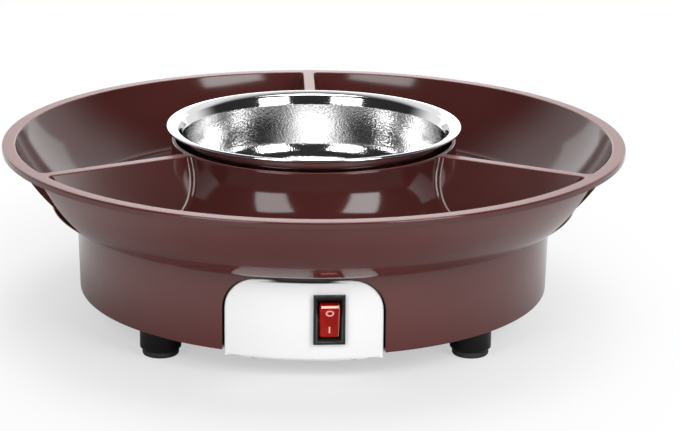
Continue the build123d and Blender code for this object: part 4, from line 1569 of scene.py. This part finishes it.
@dataclass
class RockerSwitch:
    """The switch: black body, red rocker and the two marks on it."""

    pivot: Vector
    turn: float = 2.55
    tilt: float = 13.0
    face: float = -2.6 * MM
    dish: float = 0.9 * MM
    half_length: float = 7.4 * MM
    half_width: float = 4.15 * MM
    back: float = 5.0 * MM
    taper: float = 1.6 * MM
    end_round: float = 1.0 * MM
    side_round: float = 0.9 * MM
    wall: float = 1.2 * MM
    pin_radius: float = 0.8 * MM
    pin_reach: float = 5.35 * MM
    mark_height: float = 0.06 * MM
    mark_line: float = 0.62 * MM
    ring_middle: float = 4.1 * MM
    ring_size: Pair = (1.72 * MM, 1.5 * MM)
    bar_ends: Pair = (-5.0 * MM, -2.3 * MM)
    dish_chords: int = 14
    round_chords: int = 6
    ring_chords: int = 64
    bar_chords: int = 8
    pin_points: int = 24

    def frame(self) -> Matrix:
        """From the rocker's own frame to the part's."""
        return Matrix.Translation(self.pivot) @ rotation(self.turn, "Z") @ rotation(self.tilt, "X")

    def on_face(self, x: float, z: float, proud: float) -> Vector:
        """A point over the dished face, in the part's frame."""
        dip = self.dish * (1 - (z / self.half_length) ** 2)
        return self.frame() @ Vector((x, self.face + dip - proud, z))

    def section(self, inset: float) -> Outline:
        """The rocker's outline in depth and height, inset all round."""
        sweep = (self.half_length ** 2 + self.dish ** 2) / (2 * self.dish)
        end = self.half_length - inset
        flat = end - 2 * self.end_round
        dished = [(self.face + self.dish - sweep + math.sqrt((sweep + inset) ** 2 - z ** 2), z)
                  for z in [*np.linspace(-flat, flat, self.dish_chords + 1), end]]
        top = rounded_corner(dished[-2], dished[-1], (0.0, end), self.end_round, self.round_chords)
        low = [(y, -z) for y, z in top[::-1]]
        narrow = end - self.taper
        return low + dished[:-1] + top + [(0.0, end), (self.back, narrow), (self.back, -narrow), (0.0, -end)]

    def lens(self) -> Piece:
        """The rocker: a dished cap with rounded edges, hollow behind for the lamp, on two pins."""
        frame_here, radius = self.frame(), self.side_round
        bends = [(self.half_width - radius * (1 - math.cos(a)), radius * (1 - math.sin(a)))
                 for a in np.linspace(0, math.pi / 2, self.round_chords + 1)]
        slices = [(side * x, self.section(inset))
                  for side, row in ((-1, bends), (1, bends[::-1])) for x, inset in row]
        loops = [[tuple(frame_here @ Vector((x, y, z))) for y, z in loop] for x, loop in slices]
        made = Patchwork().tube(loops).piece("rocker_lens")
        half, tall = self.half_width - self.wall, self.half_length - self.taper - self.wall
        front, behind = self.face + self.dish + self.wall, self.back + self.wall
        hollow = prism("rocker_hollow", oblong(half, front, behind), -tall, tall, frame_here)
        carve(made, Cut.REMOVE, hollow)
        across = frame_here @ rotation(90.0, "Y")
        last = 360.0 - 360.0 / self.pin_points
        ring = arc((0.0, 0.0), self.pin_radius, 0.0, last, self.pin_points - 1)
        inner = self.half_width - self.wall / 2
        pins = [prism("rocker_pin", ring, *ends, across)
                for ends in ((inner, self.pin_reach), (-self.pin_reach, -inner))]
        return smoothed(carve(made, Cut.JOIN, *pins))

    def mark(self, name: str, middle: Callable[[float], Pair], closed: bool) -> Piece:
        """A raised line on the face.

        Args:
            name: The piece's name.
            middle: Gives a point of the line's middle for a share from 0 to 1.
            closed: Whether the line is a loop.

        Returns:
            The new object.
        """
        shares = np.linspace(0, 1, 1 + (self.ring_chords if closed else self.bar_chords))
        half = self.mark_line / 2
        section = ((-half, -self.mark_height), (-half, self.mark_height / 2), (-half / 2, self.mark_height),
                   (half / 2, self.mark_height), (half, self.mark_height / 2), (half, -self.mark_height))
        rows = []
        for share in shares:
            spot, ahead = Vector(middle(share)), Vector(middle(share + 0.01))
            along = (ahead - spot).normalized()
            across = Vector((-along.y, along.x))
            points = [spot + across * side for side, _ in section]
            rows.append([tuple(self.on_face(p.x, p.y, proud)) for p, (_, proud) in zip(points, section)])
        return smoothed(Patchwork().tube(rows, not closed).piece(name))

    def build(self) -> Pieces:
        """The four pieces by name."""
        wide, tall = (size - self.mark_line / 2 for size in self.ring_size)

        def ring(share: float) -> Pair:
            """A point on the ring."""
            return wide * math.cos(math.tau * share), self.ring_middle + tall * math.sin(math.tau * share)

        def bar(share: float) -> Pair:
            """A point on the bar."""
            return 0.0, self.bar_ends[0] + share * (self.bar_ends[1] - self.bar_ends[0])

        return {
            "body": smoothed(copied("switch_body", "switch_case")),
            "rocker": self.lens(),
            "ring": self.mark("rocker_ring_mark", ring, True),
            "bar": self.mark("rocker_bar_mark", bar, False),
        }

    def dress(self, pieces: Pieces) -> None:
        """Put the pieces in place."""
        hand_over(pieces["body"], Body.BASE, BLACK, "switch_body")
        hand_over(pieces["rocker"], Body.ROCKER, RED, "rocker")
        hand_over(pieces["ring"], Body.ROCKER, PRINT)
        hand_over(pieces["bar"], Body.ROCKER, PRINT)


@dataclass
class Feet:
    """Four legs with rubber pads, each turned once and repeated."""

    places: list[Vector]
    radius: float = 8.75 * MM
    chamfer: float = 1.0 * MM
    top: float = 13.0 * MM
    pad_height: float = 2.6 * MM
    pad_round: float = 1.2 * MM
    recess: float = 6.0 * MM
    web: float = 8.6 * MM
    plug: float = 3.0 * MM
    hole: float = 1.35 * MM
    shoulder: float = 0.4 * MM
    plug_gap: float = 0.1 * MM
    segments: int = 72

    def leg(self) -> Outline:
        """Section of a leg, with a rounded shoulder over its chamfer."""
        low, pad, edge = self.pad_height, self.radius - self.chamfer, (self.radius, self.top)
        shoulder = rounded_corner(edge, (self.radius, low + self.chamfer), (pad, low), self.shoulder, 4)
        return [(self.hole, self.top), edge] + shoulder + [
            (pad, low), (self.recess, low), (self.recess, self.web), (self.hole, self.web)]

    def pad(self) -> Outline:
        """Section of a pad, with the plug that holds it in its leg."""
        reach, seat = self.radius - self.chamfer, self.pad_height
        edge = rounded_corner((reach, seat), (reach, 0.0), (0.0, 0.0), self.pad_round, 8)
        plug, top = self.recess - self.plug_gap, seat + self.plug
        return [(0.0, top), (plug, top), (plug, seat), (reach, seat)] + edge + [(0.0, 0.0)]

    def build(self) -> Pieces:
        """The legs and the pads, each as one piece."""
        made = {}
        for name, outline, finish, closed in (("foot_legs", self.leg(), GLOSS_BLACK, True),
                                              ("foot_pads", self.pad(), RUBBER, False)):
            model = turned(name + "_model", outline, finish, self.segments, closed)
            made[name] = smoothed(REPEAT.make(name, self.places, finish, Model=model))
            bpy.data.objects.remove(model)
        return made

    def dress(self, pieces: Pieces) -> None:
        """Put the pieces in the feet's places."""
        numbers = range(1, len(self.places) + 1)
        hand_over(pieces["foot_legs"], Body.BASE, GLOSS_BLACK, *[f"foot_leg_{i}" for i in numbers])
        hand_over(pieces["foot_pads"], Body.BASE, RUBBER, *[f"foot_pad_{i}" for i in numbers])


@dataclass
class Screws:
    """Pan-head screws driven upwards, one model for each group and repeated."""

    nodes: tuple[str, ...] = ("plate_screws", "clamp_screws", "thermostat_screws", "fuse_screw",
                              "cover_screws", "panel_screws", "foot_screws")
    head_height: float = 1.8 * MM
    head: float = 2.7 * MM
    shank: float = 1.25 * MM
    tip: float = 0.6 * MM
    recess: Pair = (1.5 * MM, 0.36 * MM)
    recess_depth: float = 1.1 * MM
    dome: float = 0.9 * MM
    point: float = 0.42 * MM
    segments: int = 36

    def model(self, name: str, length: float) -> Piece:
        """One screw with its seat at height 0 and a cross recess in its head.

        Args:
            name: The object's name.
            length: Length of the shank.

        Returns:
            The new object.
        """
        low = -self.head_height
        dome = rounded_corner((0.0, low), (self.head, low), (self.head, 0.0), self.dome, 6)
        neck = [(self.head, 0.0), (self.shank, 0.0), (self.shank, length - self.tip),
                (self.shank - self.point, length), (0.0, length)]
        made = turned(name, [(0.0, low)] + dome + neck, ZINC, self.segments, False)
        for wide, tall in (self.recess, self.recess[::-1]):
            bar, high = oblong(wide, -tall, tall), low + self.recess_depth
            carve(made, Cut.REMOVE, prism("recess", bar, low - MM, high, Matrix.Identity(4)))
        return made

    def build(self) -> Pieces:
        """The groups by node, each screw where the node has one."""
        made = {}
        for node in self.nodes:
            spots = [((low + high) / 2, low.z, high.z) for low, high in islands(node)]
            bottom, top = spots[0][1:]
            seat = bottom + self.head_height
            model = self.model(node + "_model", top - seat)
            seats = [(middle.x, middle.y, seat) for middle, _, _ in spots]
            made[node] = smoothed(REPEAT.make(node + "_driven", seats, ZINC, Model=model))
            bpy.data.objects.remove(model)
        return made

    def dress(self, groups: Pieces) -> None:
        """Put the groups in place."""
        for node, piece in groups.items():
            hand_over(piece, Body.BASE, ZINC, node)


@dataclass
class Fittings:
    """What is left: inner parts, gland and cover, as merged and smoothed copies with their own finishes."""

    finishes: dict[str, Finish] = field(default_factory=lambda: {
        "bottom_cover": BROWN, "cord_gland": BLACK, "gland_nut": BLACK, "switch_lamp": LAMP,
        "heating_plate": CAST, "thermostat": CAST, "plate_seal": SILICONE, "heating_element": CASE,
        "element_clamp": ZINC, "fuse_clip": ZINC, "thermal_fuse": ZINC, "switch_terminals": BRASS,
        "heater_terminals": BRASS, "terminal_block": NYLON, "lead_live": BROWN_LEAD,
        "lead_switched": BROWN_LEAD, "lead_fuse": WHITE_LEAD, "lead_element": WHITE_LEAD,
        "lead_neutral": BLUE_LEAD, "lead_lamp": BLUE_LEAD, "terminal_block_screws": ZINC,
    })

    def build(self) -> Pieces:
        """A smoothed copy of each node."""
        return {node: smoothed(copied(node, node + "_finished")) for node in self.finishes}

    def dress(self, pieces: Pieces) -> None:
        """Put each copy in its node's place."""
        for node, piece in pieces.items():
            body = Body.ROCKER if node == "switch_lamp" else Body.BASE
            hand_over(piece, body, self.finishes[node], node)


# The studio


@dataclass(frozen=True)
class Softbox:
    """A rectangular lamp that faces the object.

    Attributes:
        name: The lamp's name.
        azimuth: Where it stands, in degrees from the front to the right.
        elevation: How high it stands, in degrees.
        distance: How far from the object.
        size: Width and height.
        power: Watts.
    """

    name: str
    azimuth: float
    elevation: float
    distance: float
    size: Pair
    power: float


@dataclass
class Studio:
    """Pale floor, soft light and the camera at the photograph's angle."""

    target: Vector = field(default_factory=lambda: Vector((0.0, 0.0, 45 * MM)))
    distance: float = 1073 * MM
    elevation: float = 15.8
    azimuth: float = -1.26
    roll: float = 0.43
    lens: float = 128.0
    sensor: float = 36.0
    shift: Pair = (0.0386, -0.0097)
    floor_size: float = 6.0
    floor_lift: float = 0.5
    floor_fade: Pair = (0.06, 0.2)
    floor_squash: Triple = (1.0, 0.6, 0.0)
    floor_shift: float = 14 * MM
    reflected_shadow_radii: Pair = (0.13, 0.2)
    reflected_floor_shadow: Colour = (0.4, 0.4, 0.4, 1.0)
    open_floor: Colour = (0.92, 0.92, 0.93, 1.0)
    ambient: float = 0.12
    room_colour: Colour = (0.03, 0.03, 0.03, 1.0)
    far_side: Pair = (0.1, 0.6)
    ceiling: Pair = (0.6, 0.9)
    horizon: Pair = (0.02, 0.14)
    sides: Pair = (-0.5, 0.0)
    softboxes: tuple[Softbox, ...] = (
        Softbox("left_softbox", -34.0, 27.0, 1.4, (0.6, 0.88), 9.0),
        Softbox("right_softbox", 39.0, 27.0, 1.4, (0.57, 0.88), 11.0),
        Softbox("back_panel", 180.0, 16.0, 2.0, (3.0, 0.8), 7.0),
        Softbox("back_strip", 179.0, 16.0, 2.0, (0.5, 0.8), 1.7),
        Softbox("top_softbox", 176.0, 80.0, 1.4, (0.62, 0.9), 7.5),
    )

    def around(self, azimuth: float, elevation: float, distance: float) -> Vector:
        """A point at a distance from the target, with azimuth 0 in front and positive to the right."""
        a, e = math.radians(azimuth), math.radians(elevation)
        level = math.cos(e)
        return self.target + distance * Vector((math.sin(a) * level, -math.cos(a) * level, math.sin(e)))

    def hang(self, box: Softbox) -> None:
        """Put a softbox in the scene, out of the camera's sight."""
        data = bpy.data.lights.new(box.name, "AREA")
        data.shape = "RECTANGLE"
        data.size, data.size_y = box.size
        data.energy = box.power
        lamp = bpy.data.objects.new(box.name, data)
        lamp.location = self.around(box.azimuth, box.elevation, box.distance)
        lamp.rotation_euler = (lamp.location - self.target).to_track_quat("Z", "Y").to_euler()
        lamp.visible_camera = False
        bpy.context.scene.collection.objects.link(lamp)

    def floor(self) -> None:
        """A white floor that keeps the shadow, is painted darker near the object where mirrors see it, and
        goes over into the white background.
        """
        work = Patchwork()
        half = self.floor_size / 2
        work.grid(np.array([[(x, y, 0.0) for y in (-half, half)] for x in (-half, half)]))
        made = work.piece("studio_floor")
        material = bpy.data.materials.new("white_floor")
        graph = blank(material)
        shift = (self.floor_shift, 0.0, 0.0)
        away = graph.vector("MULTIPLY_ADD", graph.place(), self.floor_squash, shift)
        far = graph.vector("LENGTH", away, out="Value").between(*self.floor_fade)
        # Painted shadow: near the object, the floor that mirrors see is darker.
        near = graph.ray("Glossy") * (1 - graph.radius().between(*self.reflected_shadow_radii))
        paint = graph.mix(near, self.open_floor, self.reflected_floor_shadow)
        matt = graph.add("ShaderNodeBsdfDiffuse", None, {"Color": paint})
        white = graph.add("ShaderNodeEmission", None, {"Color": PURE_WHITE, "Strength": 1.0})
        lit = far * self.direct(graph) + (1 - far) * self.floor_lift * graph.ray("Camera")
        graph.add("ShaderNodeOutputMaterial", None, {"Surface": graph.blend(lit, matt, white)})
        made.data.materials.append(material)

    def direct(self, graph: Graph) -> Signal:
        """1 for rays that come from the camera, a mirror or a lens, and 0 for lighting."""
        return graph.ray("Camera").larger(graph.ray("Glossy")).larger(graph.ray("Transmission"))

    def world(self) -> None:
        """A white backdrop for the eye and a dim room with a bright far side for reflections and shade."""
        world = bpy.data.worlds.new("studio")
        graph = blank(world)
        ray = graph.add("ShaderNodeTexCoord", out="Generated")
        height, depth = graph.part(ray, "Z"), graph.part(ray, "Y")
        far_side = depth.between(*self.far_side) * (1 - height.between(*self.ceiling))
        horizon = (1 - height.between(*self.horizon)) * depth.between(*self.sides)
        room = graph.mix(far_side.larger(horizon), self.room_colour, PURE_WHITE)
        mirrored, shade, plain = (
            graph.add("ShaderNodeBackground", None, {"Color": colour, "Strength": strength})
            for colour, strength in ((room, 1.0), (PURE_WHITE, self.ambient), (PURE_WHITE, 1.0)))
        both = graph.blend(graph.ray("Glossy"), shade, mirrored)
        both = graph.blend(graph.ray("Camera").larger(graph.ray("Transmission")), both, plain)
        graph.add("ShaderNodeOutputWorld", None, {"Surface": both})
        bpy.context.scene.world = world

    def camera(self) -> None:
        """The camera, rolled and shifted as the photograph is framed."""
        data = bpy.data.cameras.new("camera")
        data.lens = self.lens
        data.sensor_width = self.sensor
        data.sensor_fit = "HORIZONTAL"
        data.shift_x, data.shift_y = self.shift
        made = bpy.data.objects.new("camera", data)
        made.location = self.around(self.azimuth, self.elevation, self.distance)
        look = (self.target - made.location).to_track_quat("-Z", "Y").to_matrix().to_4x4()
        made.rotation_euler = (look @ rotation(self.roll, "Z")).to_euler()
        bpy.context.scene.collection.objects.link(made)
        bpy.context.scene.camera = made

    def build(self) -> None:
        """Set the stage."""
        bpy.context.scene.view_settings.view_transform = "Standard"
        self.floor()
        self.world()
        for box in self.softboxes:
            self.hang(box)
        self.camera()


def middle_of(node: str) -> Vector:
    """The middle of a node's box."""
    low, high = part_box(node)
    return (low + high) / 2


def main() -> None:
    """Build the pieces in order, dress them and set the stage."""
    logging.basicConfig(level=logging.INFO, format="%(name)s %(message)s")
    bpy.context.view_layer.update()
    tray_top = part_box("serving_tray")[1]
    flare = Flare(tray_top.x, tray_top.z)
    panel = Panel()
    housing = Housing(flare, panel)
    pivot = next(j for j in frame["joints"] if j["name"] == "rocker_tilt")["pos_m"]
    places = [Vector((*middle_of(f"foot_leg_{i}").xy, 0.0)) for i in range(1, 5)]
    parts = [
        housing,
        ServingTray(flare),
        MeltingBowl(flare.rim_height),
        ControlPanel(flare, panel, housing),
        RockerSwitch(Vector(pivot)),
        Feet(places),
        Screws(),
        Fittings(),
    ]
    for part in parts:
        part.dress(part.build())
    Studio().build()


if __name__ == "__main__":
    main()
